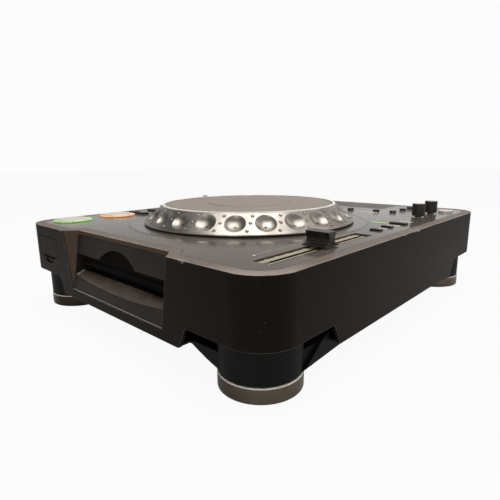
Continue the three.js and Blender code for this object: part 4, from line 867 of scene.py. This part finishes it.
class PLAYER_OT_lower_case(bpy.types.Operator):
    """Build the black lower case: its pan, the four legs and their braces"""

    bl_idname = "player.lower_case"
    bl_label = "Lower Case"

    def execute(self, context):
        pan = slab("pan", WALL + GAP, PAN_FOOT_Z, PAN_TOP_Z, LEG_INSET, 12)
        for tools in notch_tools(GAP):
            combine(pan, tools)
        inner = slab("inner", PAN_LIP, PAN_FOOT_Z, PAN_TOP_Z, LEG_INSET, 12)
        combine(pan, [inner], "UNION")
        funnel_r = LEG_R + (PAN_TOP_Z - FUNNEL_Z) / FUNNEL_RATE
        funnel = [(LEG_R, FUNNEL_Z), (funnel_r, PAN_TOP_Z)]
        flat_r = 23
        pillar = softened([
            (flat_r, LEG_FOOT_Z), (LEG_R, LEG_FOOT_Z), (LEG_R, LEG_TOP_Z), (flat_r, LEG_TOP_Z),
        ], 0.5, False)
        # Each brace runs from its leg up to the pan, as (reach inwards from the leg, height).
        brace = (
            (6.875, 13), (57, 16.5), (65, 23.4), (49, 23.4), (40.5, 25.8), (38, 32),
            (13.75, 14.25),
        )
        funnels, pillars, webs = [], [], []
        for _, sx, sy, centre in corners():
            plan = slab("plan", PAN_LIP, LEG_FOOT_Z, LEG_TOP_Z, LEG_INSET, 12)
            cone = lathe("funnel", funnel, centre, 96, False)
            funnels.append(combine(cone, [plan], "INTERSECT"))
            pillars.append(lathe("pillar", pillar, centre, 96, False))
            outline = [(centre[1] - sy * reach, z) for reach, z in brace]
            webs.append(prism("web", outline, "X", *(sx * x for x in BRACE_X)))
        walls = slab("walls", WALLS_INSET, PAN_FOOT_Z, LEG_TOP_Z, LEG_INSET, 8)
        foot, top = SKIRT_Z - REACH, LEG_TOP_Z + REACH
        combine(walls, [slab("room", WALLS_INSET + WALLS_THICK, foot, top, LEG_INSET, 8)])
        open_x, open_y = WALLS_OPEN_HALF
        for x, y in ((open_x, DEPTH / 2), (WIDTH / 2, open_y)):
            combine(walls, [block("middle", (-x, -y, foot), (x, y, top))])
        for tools in (funnels, pillars, webs, [walls]):
            combine(pan, tools, "UNION")
        ease(pan, LOWER_EASE)
        complete(pan, "lower_case_moulding", "moulded", "lower_case")
        return {"FINISHED"}


class PLAYER_OT_feet(bpy.types.Operator):
    """Turn the plated foot rings and their rubber pads, and fix them with screws"""

    bl_idname = "player.feet"
    bl_label = "Feet"

    def execute(self, context):
        ring = softened([
            (2.7, 4), (24.8, 4), (24.8, 1.2), (28, 1.2), (28, 12), (22, 12), (22, 7), (2.7, 7),
        ], 0.7)
        pad = softened([
            (3.2, 0.6), (9, 0.6), (9, 0), (15, 0), (15.6, 0.6), (17.4, 0.6), (18, 0), (24.5, 0),
            (24.5, 3.7), (3.2, 3.7),
        ], 0.4)
        head = softened([(0.6, 1.4), (1.0, 2.2), (1.4, 1.4), (2.3, 1.6), (2.3, 6), (0.6, 6)], 0.2)
        for name, _, _, at in corners():
            for profile, steps, end, finish, slot, node in (
                (ring, 128, "plated", "nickel", "foot_metal", f"foot_ring_{name}"),
                (pad, 72, "rubber", "rubber", "pad_rubber", f"foot_pad_{name}"),
                (head, 24, "screw", "steel", "bright_steel", None),
            ):
                turned = lathe(end, profile, at, steps)
                complete(turned, f"foot_{name}_{end}", finish, node)
        return {"FINISHED"}


# Disc slot


def sill_z(share):
    """Height of the slot's sagging sill, from -1 at its left end to 1 at its right end."""
    return SILL_Z + SILL_SAG * share ** 2


class PLAYER_OT_slot(bpy.types.Operator):
    """Build the slot's bezel with its finger notch, and the ramp below it"""

    bl_idname = "player.slot"
    bl_label = "Disc Slot"

    def execute(self, context):
        foot, top, thick, half = RECESS_FOOT_Z + 0.15, DECK_UNDER - GAP, 3, RECESS_HALF - 0.2
        face = [
            (recess_face(foot), foot), (recess_face(foot) + thick, foot),
            (recess_face(top) + thick, top), (recess_face(top), top),
        ]
        bezel = prism("bezel", face, "X", -half, half)
        notch_rise = NOTCH_TOP - MOUTH_TOP
        radius = (NOTCH_HALF ** 2 + notch_rise ** 2) / (2 * notch_rise)
        sweep = math.asin(NOTCH_HALF / radius)
        turns = (sweep - 2 * sweep * i / 40 for i in range(1, 40))
        arc = [
            (radius * math.sin(turn), NOTCH_TOP - radius + radius * math.cos(turn))
            for turn in turns
        ]
        sill = [(SLOT_HALF * (i / 16 - 1), sill_z(i / 16 - 1)) for i in range(33)]
        right = [(SLOT_HALF, MOUTH_TOP), (NOTCH_HALF, MOUTH_TOP)]
        left = [(-NOTCH_HALF, MOUTH_TOP), (-SLOT_HALF, MOUTH_TOP)]
        near, far = FRONT - REACH, FRONT + 15
        combine(bezel, [prism("mouth", sill + right + arc + left, "Y", near, far)])
        # The cheeks close the mouth's ends, from behind the face to past the seal's front.
        foot, top = CHEEK_Z
        cheek = [
            (recess_face(foot) + 1, foot), (SEAL_FRONT + 1, foot),
            (SEAL_FRONT + 1, top), (recess_face(top) + 1, top),
        ]
        combine(bezel, [
            prism("cheek", cheek, "X", side, side + CHEEK_THICK)
            for side in (-SLOT_HALF - CHEEK_THICK, SLOT_HALF)
        ], "UNION")
        edit(bezel)
        bpy.ops.mesh.quads_convert_to_tris(ngon_method="BEAUTY")
        leave_edit()
        complete(bezel, "slot_bezel_moulded", "bezel", "slot_bezel")

        # A pale line along the slot's foot, painted in as a highlight.
        foot_y, half = recess_face(RECESS_FOOT_Z), RECESS_HALF - 0.6
        line = block(
            "line", (-half, foot_y - 0.3, RECESS_FOOT_Z - 0.1),
            (half, foot_y + 1, RECESS_FOOT_Z + 0.5),
        )
        ease(line, 0.15)
        complete(line, "slot_foot_line", "bead")

        deselect()
        bpy.ops.mesh.primitive_grid_add(x_subdivisions=32, y_subdivisions=8, size=2)
        ramp = added("ramp")
        for vertex in ramp.data.vertices:
            along, across = vertex.co.x, (vertex.co.y + 1) / 2
            low, front = sill_z(along) + 0.3, recess_face(sill_z(along)) + 0.4
            bulge = 0.7 * math.sin(math.pi * across) - 1.3 * (1 - across) ** 12
            vertex.co = (
                along * (SLOT_HALF - GAP) * MM,
                (front + (SEAL_FRONT + 0.7 - front) * across) * MM,
                (low + (RAMP_TOP - low) * across + bulge) * MM,
            )
        apply_modifier(ramp, "SOLIDIFY", thickness=1.6 * MM, offset=-1)
        complete(ramp, "slot_ramp", "ramp", "slot_lip")

        # A pale bead at the ramp's left end, painted in as a highlight.
        near = recess_face(SILL_Z + SILL_SAG) + 0.6
        outline = [(near, 43.4), (SEAL_FRONT, 46.6), (SEAL_FRONT, 47.6), (near, 44.6)]
        bead = prism("bead", outline, "X", GAP - SLOT_HALF, 1.4 - SLOT_HALF)
        ease(bead, 0.3, 3)
        complete(bead, "slot_ramp_bead", "bead")
        return {"FINISHED"}


class PLAYER_OT_card_door(bpy.types.Operator):
    """Build the memory card door left of the slot"""

    bl_idname = "player.card_door"
    bl_label = "Card Door"

    def execute(self, context):
        x0, z0, x1, z1 = DOOR
        thick, pin_r, pin_reach = 2.4, 0.7, 1.6
        door = block("door", (x0, FRONT, z0), (x1, FRONT + thick, z1))
        ease(door, 0.7, 3)
        hinge = (FRONT + thick / 2, z1 - thick / 2)
        pins = drum("pins", "X", hinge, pin_r, x0 - pin_reach, x1 + pin_reach, 16)
        combine(door, [pins], "UNION")
        complete(door, "card_door_leaf", "case", "card_door", "card_door")
        return {"FINISHED"}


# Jog wheel


def cone_point(share, depth):
    """A point on the wheel's slope, from its lower edge up, sunk in by a depth."""
    rise, run = JOG_TOP - JOG_BASE - JOG_EDGE, JOG_R - JOG_RIM_R
    length = math.hypot(rise, run)
    radius = JOG_R - run * share - depth * rise / length
    return radius, JOG_BASE + JOG_EDGE + rise * share - depth * run / length


def on_wheel(place, radius, turn, z):
    """A point from its radius, turn and height about a place on the deck."""
    return place[0] + radius * math.cos(turn), place[1] + radius * math.sin(turn), z


def ball(name, centre, radius, segments, rings):
    deselect()
    bpy.ops.mesh.primitive_uv_sphere_add(
        segments=segments, ring_count=rings, radius=radius * MM,
        location=[c * MM for c in centre],
    )
    return added(name)


class PLAYER_OT_jog(bpy.types.Operator):
    """Turn the jog wheel with its dimples and studs, its top plate and its middle lens"""

    bl_idname = "player.jog"
    bl_label = "Jog Wheel"

    def execute(self, context):
        sizes = context.scene.player_sizes
        pitch = math.tau / DIMPLES
        ring = lathe("ring", softened([
            (20.6, 86.2), (96.2, 86.2), (98, JOG_BASE), (JOG_R, JOG_BASE),
            cone_point(0, 0), cone_point(1, 0), (82.4, JOG_TOP),
            (82.4, 96.9), (80, 96.9), (93.5, 89.2), (24.6, 89.2), (24.6, 93), (20.6, 93),
        ], 0.5), JOG, 240)
        dimple_r = (sizes.dimple ** 2 + DIMPLE_DEPTH ** 2) / (DIMPLE_DEPTH * 2)
        reach, z = cone_point(0.5, DIMPLE_DEPTH - dimple_r)
        turns = (pitch * (i + sizes.dimple_turn) for i in range(DIMPLES))
        combine(ring, [
            ball("dimple", on_wheel(JOG, reach, turn, z), dimple_r, 56, 40) for turn in turns
        ])
        ease(ring, 0.3, 2, 28)
        complete(ring, "jog_ring_plated", "plating", "jog_ring", "jog_ring")

        # A trim of pale metal lies on the rim, from its inner edge to just past its outer one,
        # painted near white as a highlight.
        outer, inner = JOG_RIM_R, 82.5
        trim = lathe("trim", softened([
            (inner, JOG_TOP - 1), (outer + 0.2, JOG_TOP - 1.2), (outer + 0.9, JOG_TOP - 0.9),
            (outer + 0.7, JOG_TOP + 0.1), (outer - 0.3, JOG_TOP + 0.25), (inner, JOG_TOP + 0.1),
        ], 0.3), JOG, 192)
        complete(trim, "jog_rim_trim", "pale_rim_highlight", body="jog_ring")

        # Three studs between two dimples, as (share of the slope, lean in degrees), on dark seats
        # that paint the shade round each stud's foot.
        studs, seats = [], []
        slope = math.atan2(JOG_TOP - JOG_BASE - JOG_EDGE, JOG_R - JOG_RIM_R)
        sunk, stud_r, seat_foot_r, seat_top_r, seat_high = 0.35, 1.35, 2.1, 1.5, 0.8
        for i in range(DIMPLES):
            for share, lean in ((0.82, 1.2), (0.5, 0.0), (0.16, -1.7)):
                turn = pitch * (i + 0.5 + sizes.dimple_turn) + math.radians(lean)
                radius, z = cone_point(share, sunk)
                centre = on_wheel(JOG, radius, turn, z)
                studs.append(ball("stud", centre, stud_r, 16, 10))
                deselect()
                bpy.ops.mesh.primitive_cone_add(
                    vertices=16, radius1=seat_foot_r * MM, radius2=seat_top_r * MM,
                    depth=seat_high * MM, location=[c * MM for c in centre],
                    rotation=(0, math.pi / 2 - slope, turn),
                )
                seats.append(added("seat"))
        for pieces, name, finish in (
            (studs, "jog_studs", "plating"), (seats, "jog_stud_shade_seats", "stud_shade"),
        ):
            complete(joined(pieces), name, finish, body="jog_ring", even=False)

        top = lathe("top", softened([
            (41, 97.7), (81.8, 97.7), (81.8, 100.5), (79.6, 100.5), (79.2, 100.2), (78.8, 100.5),
            (41, 100.5),
        ], 0.3), JOG, 192)
        complete(top, "jog_plate_lacquered", "jog_top", "jog_plate", "jog_plate")
        lens = lathe("lens", softened([
            (14, 94.9), (14, 97.3), (38, 97.3), (38, 99.5), (40.6, 99.5), (40.6, 100.6),
            (39, 101), (1, 101),
        ], 0.3, False), JOG, 128, False)
        complete(lens, "jog_lens", "jog_top", "jog_display")
        inner, around_z = 96, RIM_Z + 0.2
        around = lathe("around", softened([
            (inner, PLATE_FOOT), (SURROUND_R, PLATE_FOOT), (SURROUND_R, around_z),
            (SURROUND_R - 1.6, around_z), (SURROUND_R - 2.2, around_z - 0.3),
            (SURROUND_R - 2.8, around_z), (inner, around_z),
        ], 0.2), JOG, 192)
        complete(around, "jog_surround_gloss", "surround", "jog_surround")
        return {"FINISHED"}


# Keys, knobs, lever and fader


class PLAYER_OT_keys(bpy.types.Operator):
    """Build every key on the deck with its rounded cap and hidden flange"""

    bl_idname = "player.keys"
    bl_label = "Keys"

    def execute(self, context):
        for node in ROUND_KEYS + SQUARE_KEYS:
            x, y, wide, long = key_size(node)
            low, high = (corner.z for corner in box_of(node))
            flange_top = low + 2
            if node in ROUND_KEYS:
                key = lathe("key", softened([
                    (wide + KEY_FLANGE, low), (wide + KEY_FLANGE, flange_top), (wide, flange_top),
                    (wide, high), (wide * 0.55, high - 0.25), (0.5, high - 0.35),
                ], 0.5, False), (x, y), 48, False)
            else:
                x0, y0, x1, y1 = x - wide, y - long, x + wide, y + long
                key = block("key", (x0, y0, low), (x1, y1, high), KEY_CORNER - 0.2, 4)
                ease(key, 0.45, 3)
                flange = block(
                    "flange", (x0 - KEY_FLANGE, y0 - KEY_FLANGE, low),
                    (x1 + KEY_FLANGE, y1 + KEY_FLANGE, flange_top), 1.5, 4,
                )
                combine(key, [flange], "UNION")
            finish, slot = "key_black", "black_plastic"
            if node in SILVER_KEYS:
                finish, slot = "key_silver", "silver_key"
            complete(key, f"{node}_cap", finish, node, node)
        return {"FINISHED"}


class PLAYER_OT_transport(bpy.types.Operator):
    """Turn the play and cue keys and the lit rings round them"""

    bl_idname = "player.transport"
    bl_label = "Play and Cue"

    def execute(self, context):
        for kind, colour in (("play", "green"), ("cue", "orange")):
            node = f"{kind}_button"
            low, high = (corner.z for corner in box_of(node))
            cap = lathe("cap", softened([
                (17.7, low), (17.7, low + 2), (15.4, low + 2), (15.4, high - 0.6),
                (14.2, high), (12, high), (6, high - 0.5), (0.5, high - 0.6),
            ], 0.8, False), middle(node), 96, False)
            complete(cap, f"{node}_cap", "key_silver", node, node)
            ring = lathe("lit", softened([
                (15.8, DECK_UNDER), (RING_TUBE_R, DECK_UNDER), (RING_TUBE_R, 83.3), (19, 83.3),
                (19, 83.8), (18, 84.2), (15.8, 84.2),
            ], 0.35), middle(node), 96)
            complete(ring, f"{kind}_ring_lit", colour, f"{kind}_ring")
        return {"FINISHED"}


def tick(place, turn, near, far, wide):
    """A short printed line that points away from a place on the deck."""
    along = Vector((math.cos(turn), math.sin(turn)))
    across = Vector((-math.sin(turn), math.cos(turn)))
    ends = ((near, -1), (far, -1), (far, 1), (near, 1))
    outline = [tuple(Vector(place) + along * r + across * s * wide / 2) for r, s in ends]
    return prism("tick", outline, "Z", RIM_Z - INK_UNDER, RIM_Z + INK_OVER)


class PLAYER_OT_knobs(bpy.types.Operator):
    """Build the two fluted knobs with their pointer lines and the scales round them"""

    bl_idname = "player.knobs"
    bl_label = "Knobs"

    def execute(self, context):
        knob_r, flute, flutes = 6.35, 0.35, 20
        for node in KNOBS:
            low, high = (corner.z for corner in box_of(node))
            x, y = middle(node)
            outline = []
            for i in range(flutes * 6):
                turn = math.tau * i / (flutes * 6)
                radius = knob_r - flute * max(0.0, math.cos(turn * flutes)) ** 2
                outline.append(on_wheel((x, y), radius, turn, 0)[:2])
            knob = prism("knob", outline, "Z", RIM_Z + 0.8, high - 0.3)
            ease(knob, 0.5, 3, 60)
            combine(knob, [drum("stem", "Z", (x, y), 3, low, RIM_Z + 2, 24)], "UNION")
            complete(knob, f"{node}_grip", "key_black", node, node)
            cap = softened([(5.3, high - 1), (5.3, high), (0.5, high)], 0.2, False)
            disc = lathe("disc", cap, (x, y), 48, False)
            line = block("line", (x - 0.5, y + 1, high - 0.4), (x + 0.5, y + 6, high + 1))
            combine(disc, [line])
            complete(disc, f"{node}_disc", "key_silver", body=node)
            ticks = [tick((x, y), math.radians(240 - 30 * i), 8.2, 9.6, 0.35) for i in range(11)]
            complete(joined(ticks), f"{node}_scale", "ink", even=False)
        return {"FINISHED"}


class PLAYER_OT_lever(bpy.types.Operator):
    """Build the direction lever on its pin"""

    bl_idname = "player.lever"
    bl_label = "Direction Lever"

    def execute(self, context):
        low, high = box_of("direction_lever")
        x, y, pin_z, half = COLUMN_LEFT, LEVER_Y, 74, 2.5
        neck, top = RIM_Z + 2, high.z
        side = [(4, pin_z), (4, neck), (3, top - 2), (2.6, top)]
        outline = [(y - 4, pin_z)] + [(y + u, z) for u, z in side]
        outline += [(y - u, z) for u, z in reversed(side[1:])]
        lever = prism("lever", outline, "X", x - half, x + half)
        ease(lever, 0.6, 3)
        combine(lever, [drum("hub", "X", (y, pin_z), 3.4, x - half, x + half, 32)], "UNION")
        combine(lever, [drum("pin", "X", (y, pin_z), 1.3, low.x, high.x, 16)], "UNION")
        complete(
            lever, "direction_lever_grip", "key_black", "direction_lever",
            "direction_lever",
        )
        return {"FINISHED"}


class PLAYER_OT_fader(bpy.types.Operator):
    """Build the tempo fader's waisted cap and the printed scale in its trough"""

    bl_idname = "player.fader"
    bl_label = "Tempo Fader"

    def execute(self, context):
        low, high = box_of("fader_cap")
        foot, top = RIM_Z + 0.9, high.z - 2.4
        half_wide, half_long, shoulder = 9.5, 8.5, foot + 1.2
        waist = curve(
            Vector((half_long, shoulder)), Vector((0.3, shoulder + 0.5)), Vector((5.2, top)), 12,
        )
        outline = [(half_long, foot)] + waist
        outline += [(-u, v) for u, v in reversed(outline)]
        outline = [(FADER_Y + u, v) for u, v in outline]
        cap = prism("cap", outline, "X", COLUMN_RIGHT - half_wide, COLUMN_RIGHT + half_wide)
        ease(cap, 0.4, 3, 40)
        half_wide, half_long = 0.8, 3
        combine(cap, [block(
            "stem", (COLUMN_RIGHT - half_wide, FADER_Y - half_long, low.z),
            (COLUMN_RIGHT + half_wide, FADER_Y + half_long, foot + 1.1),
        )], "UNION")
        complete(cap, "fader_cap_grip", "key_black", "fader_cap", "fader_cap")
        # Scale bars left and right of the slit. Each fifth one on the left is longer.
        bars, pitch, half_bar = [], 2, 0.7
        for near, far, short in ((-7.1, -1.6, 0.9), (1.7, 3.1, 0)):
            for i in range(59):
                y = FADER_Y - SCALE_HALF + i * pitch
                x0, x1 = COLUMN_RIGHT + near, COLUMN_RIGHT + far
                x0 += 0 if i % 5 == 4 else short
                y0, y1 = y - half_bar, y + half_bar
                bars.append(prism(
                    "bar", [(x0, y0), (x1, y0), (x1, y1), (x0, y1)], "Z", *TROUGH_INK_Z,
                ))
        complete(joined(bars), "tempo_scale", "cream", even=False)
        # A row of dots beside the trough, with a large one at its near end.
        foot, top, x, y = RIM_Z - INK_UNDER, RIM_Z + INK_OVER, 117, -143
        dots = [drum("dot", "Z", (x + 0.7, y - 4), 1.1, foot, top, 12)]
        dots += [drum("dot", "Z", (x, y + 1.7 * i), 0.35, foot, top, 8) for i in range(62)]
        complete(joined(dots), "tempo_dots", "ink", even=False)
        return {"FINISHED"}


class PLAYER_OT_printing(bpy.types.Operator):
    """Lay the plain printed bars beside the keys, and the green lamp"""

    bl_idname = "player.printing"
    bl_label = "Printed Marks"

    def execute(self, context):
        foot, top, lamp_top = RIM_Z - INK_UNDER, RIM_Z + 0.08, RIM_Z + 0.3
        # Bars that stand alone: centre and half sizes.
        bars = [(x, y, 4.5, 0.6) for y in (-63.5, -38.5) for x in (-140.5, -123.5)]
        bars += [(70, 95, 13, 2), (105, 48, 1.2, 1.2)]
        # Bars behind a key: key, distance and half sizes.
        above = [(f"hot_cue_{letter}", 2, 5, 0.5) for letter in "abc"]
        above += [(node, 2.5, 4, 0.5) for node in ("loop_in", "loop_out", "reloop")]
        above += [
            ("tempo_range_button", 10, 4, 1.8), ("master_tempo_button", 10, 6, 2),
            ("jog_mode_button", 14, 6, 1.8),
        ]
        for node, reach, half_wide, half_long in above:
            x, y, _, long = key_size(node)
            bars.append((x, y + long + reach, half_wide, half_long))
        marks = [
            block("mark", (x - wide, y - long, foot), (x + wide, y + long, top))
            for x, y, wide, long in bars
        ]
        complete(joined(marks), "printed_bars", "ink", even=False)
        lamp = block("lamp", (109, 27, foot), (124, 30, lamp_top), 0.6, 3)
        ease(lamp, 0.15)
        complete(lamp, "tempo_lamp", "green")
        return {"FINISHED"}


# Rear and inside


class PLAYER_OT_rear(bpy.types.Operator):
    """Build the collars and gilt sleeves of the phono sockets"""

    bl_idname = "player.rear"
    bl_label = "Rear Connectors"

    def execute(self, context):
        left, foot, right, top = JACKS
        middle_x, wide, z = (left + right) / 2, right - left, (foot + top) / 2
        for i, share in enumerate(SOCKET_SHARES):
            at = (middle_x + wide * share, z)
            for name, outer, inner, end, steps, finish, slot in (
                (
                    "collar", 6.4, 4.35, 173.2, 48, "red" if i % 2 else "white",
                    "black_plastic",
                ),
                ("sleeve", 4.45, 4.25, 180.9, 40, "brass", "bright_steel"),
            ):
                tube = drum(name, "Y", at, outer, SOCKET_Y, end, steps)
                combine(tube, [drum("bore", "Y", at, inner, SOCKET_Y - REACH, end + REACH, 40)])
                if name == "collar":
                    ease(tube, 0.3)
                complete(tube, f"phono_{name}_{i + 1}", finish)
        return {"FINISHED"}


class PLAYER_OT_inside(bpy.types.Operator):
    """Give the solids that stay in view their finishes"""

    bl_idname = "player.inside"
    bl_label = "Inner Pieces"

    def execute(self, context):
        for node, finish in {
            "slot_seal": "felt",
            "jog_post": "steel",
            "jog_bearing": "steel",
            "fader_unit": "key_black",
            "control_board": "board",
            "card_reader": "moulded",
            "drive_frame": "steel",
            "feed_roller": "rubber",
            "turntable": "moulded",
            "laser_sled": "steel",
            "power_supply": "board",
            "jack_block": "moulded",
            "ac_inlet": "moulded",
            "power_switch": "key_black",
        }.items():
            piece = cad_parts[node]
            piece.data.materials.clear()
            piece.data.materials.append(finishes[finish])
        return {"FINISHED"}


# Stage


def place_camera():
    """The camera where the photograph was taken, level but for a slight roll."""
    data = bpy.data.cameras.new("camera")
    camera = bpy.data.objects.new("camera", data)
    bpy.context.scene.collection.objects.link(camera)
    turn, tilt, roll = (math.radians(angle) for angle in CAMERA_ANGLES)
    back = Vector((
        math.sin(turn) * math.cos(tilt), -math.cos(turn) * math.cos(tilt), math.sin(tilt),
    ))
    right = Vector((0, 0, 1)).cross(back).normalized()
    up = back.cross(right)
    side = right * math.cos(roll) + up * math.sin(roll)
    top = up * math.cos(roll) - right * math.sin(roll)
    way = Matrix((side, top, back)).transposed().to_4x4()
    camera.matrix_world = Matrix.Translation(CAMERA_PLACE) @ way
    data.lens = CAMERA_LENS
    data.sensor_width = 36
    data.clip_start = 0.01
    bpy.context.scene.camera = camera


def area_light(name, place, size, power, colour):
    """A soft lamp that faces the middle of the player, sized and placed in metres."""
    data = bpy.data.lights.new(name, "AREA")
    data.shape = "RECTANGLE"
    data.size, data.size_y = size
    data.energy = power
    data.color = linear(colour)[:3]
    light = bpy.data.objects.new(name, data)
    light.location = place
    way = Vector(place) - Vector((0, 0, 0.06))
    light.rotation_euler = way.to_track_quat("Z", "Y").to_euler()
    bpy.context.scene.collection.objects.link(light)


def seen(tree, mirrored):
    """One for rays from the camera, and a share of one for those off metal or through glass."""
    path = add_node(tree, "LightPath", {})
    share = add_node(
        tree, "Math", {0: path["Is Glossy Ray"], 1: path["Is Transmission Ray"]},
        operation="MAXIMUM",
    )[0]
    share = add_node(tree, "Math", {0: share, 1: mirrored}, operation="MULTIPLY")[0]
    return add_node(tree, "Math", {0: path["Is Camera Ray"], 1: share}, operation="MAXIMUM")[0]


class PLAYER_OT_stage(bpy.types.Operator):
    """Set the pale floor, the soft lights, the surroundings and the camera"""

    bl_idname = "player.stage"
    bl_label = "Stage"

    def execute(self, context):
        deselect()
        bpy.ops.mesh.primitive_grid_add(x_subdivisions=8, y_subdivisions=8, size=12)
        floor = added("floor")
        material, tree, sockets, _ = new_finish("Pale paper floor", 0.9, specular=0.1)
        sockets["Base Color"].default_value = linear("#d6d4d1")
        shaded = tree.nodes["Principled BSDF"].outputs[0]
        white = add_node(tree, "Emission", {"Strength": 1.0})[0]
        share = add_node(tree, "Math", {0: seen(tree, 0.25), 1: 0.94}, operation="MULTIPLY")[0]
        blend = add_node(tree, "MixShader", {0: share, 1: shaded, 2: white})[0]
        tree.links.new(blend, tree.nodes["Material Output"].inputs["Surface"])
        floor.data.materials.append(material)

        world = bpy.data.worlds.new("Soft grey room")
        context.scene.world = world
        world.use_nodes = True
        tree = world.node_tree
        place = add_node(tree, "TexCoord", {})["Generated"]
        x, y, height = add_node(tree, "SeparateXYZ", {0: place})
        walls = add_node(tree, "ValToRGB", {"Fac": height})["Color"]
        stops = walls.node.color_ramp.elements
        stops[0].position, stops[1].position = 0.36, 0.5
        stops[0].color = (0.975, 0.975, 0.975, 1)
        stops[1].color = (0.14, 0.135, 0.13, 1)
        for position, shade in ((0.82, 0.16), (0.95, 0.5)):
            stops.new(position).color = (shade, shade, shade, 1)
        # The room is lighter to the right and behind, and dim where it lights the object.
        aside = add_node(tree, "Math", {0: x, 1: 0.6, 2: y}, operation="MULTIPLY_ADD")[0]
        dim = laid(tree, "#3f3e3c", "#c3c0bc", where(tree, (aside, -0.9, 0.9)))
        room = laid(tree, dim, walls, seen(tree, 0.38))
        tree.links.new(room, tree.nodes["Background"].inputs["Color"])

        area_light("overhead", (0.1, -0.1, 1.1), (0.9, 0.9), 9, "#fffaf4")
        area_light("rear", (0.6, 1.0, 1.1), (0.7, 0.7), 1.6, "#fff6ec")
        area_light("front", (0.6, -1.3, 0.32), (0.5, 0.4), 2.6, "#fff6ec")
        place_camera()
        context.scene.view_settings.view_transform = "Standard"
        return {"FINISHED"}


# What a user may change


class PlayerSizes(bpy.types.PropertyGroup):
    """Sizes in millimetres that a user may change"""

    case_edge: FloatProperty(
        name="Case Edge", description="Rounding of the case's painted edges, in millimetres",
        default=0.6, min=0.1, max=2.0,
    )
    plate_edge: FloatProperty(
        name="Plate Edge", description="Rounding of the control plate's edges, in millimetres",
        default=0.18, min=0.05, max=0.5,
    )
    dimple: FloatProperty(
        name="Dimple Radius", description="Radius of each finger dimple, in millimetres",
        default=9.1, min=6.0, max=10.0,
    )
    dimple_turn: FloatProperty(
        name="Dimple Turn", description="Turn of the wheel, as a share of one dimple's pitch",
        default=0.42, min=0.0, max=1.0, subtype="FACTOR",
    )


class PlayerColours(bpy.types.PropertyGroup):
    """Paints and lacquers that a user may change"""

    wall: FloatVectorProperty(
        name="Walls", description="Paint on the side walls", size=4, subtype="COLOR",
        default=linear("#191412"), min=0.0, max=1.0,
    )
    band: FloatVectorProperty(
        name="Rim Band", description="Paint on the band round the deck", size=4, subtype="COLOR",
        default=linear("#716964"), min=0.0, max=1.0,
    )
    deck: FloatVectorProperty(
        name="Deck", description="Lacquer of the control plate", size=4, subtype="COLOR",
        default=linear("#665e59"), min=0.0, max=1.0,
    )
    wheel_top: FloatVectorProperty(
        name="Wheel Top", description="Lacquer of the jog wheel's top plate", size=4,
        subtype="COLOR", default=linear("#988e86"), min=0.0, max=1.0,
    )


class PLAYER_PT_pieces(bpy.types.Panel):
    """The player's pieces, sizes and colours"""

    bl_idname = "PLAYER_PT_pieces"
    bl_label = "Disc Player"
    bl_space_type = "VIEW_3D"
    bl_region_type = "UI"
    bl_category = "Player"

    def draw(self, context):
        for group in (context.scene.player_sizes, context.scene.player_colours):
            for name in group.__annotations__:
                self.layout.prop(group, name)
        for operator in operators:
            self.layout.operator(operator.bl_idname)


operators = (
    PLAYER_OT_case, PLAYER_OT_deck, PLAYER_OT_lower_case, PLAYER_OT_feet, PLAYER_OT_slot,
    PLAYER_OT_card_door, PLAYER_OT_jog, PLAYER_OT_keys, PLAYER_OT_transport, PLAYER_OT_knobs,
    PLAYER_OT_lever, PLAYER_OT_fader, PLAYER_OT_printing, PLAYER_OT_rear, PLAYER_OT_inside,
    PLAYER_OT_stage,
)
classes = (PlayerSizes, PlayerColours) + operators + (PLAYER_PT_pieces,)


def register():
    for made in classes:
        bpy.utils.register_class(made)
    bpy.types.Scene.player_sizes = PointerProperty(type=PlayerSizes)
    bpy.types.Scene.player_colours = PointerProperty(type=PlayerColours)


def unregister():
    del bpy.types.Scene.player_colours
    del bpy.types.Scene.player_sizes
    for made in reversed(classes):
        bpy.utils.unregister_class(made)


def main():
    register()
    make_finishes()
    for operator in operators:
        family, name = operator.bl_idname.split(".")
        getattr(getattr(bpy.ops, family), name)()


if __name__ == "__main__":
    main()
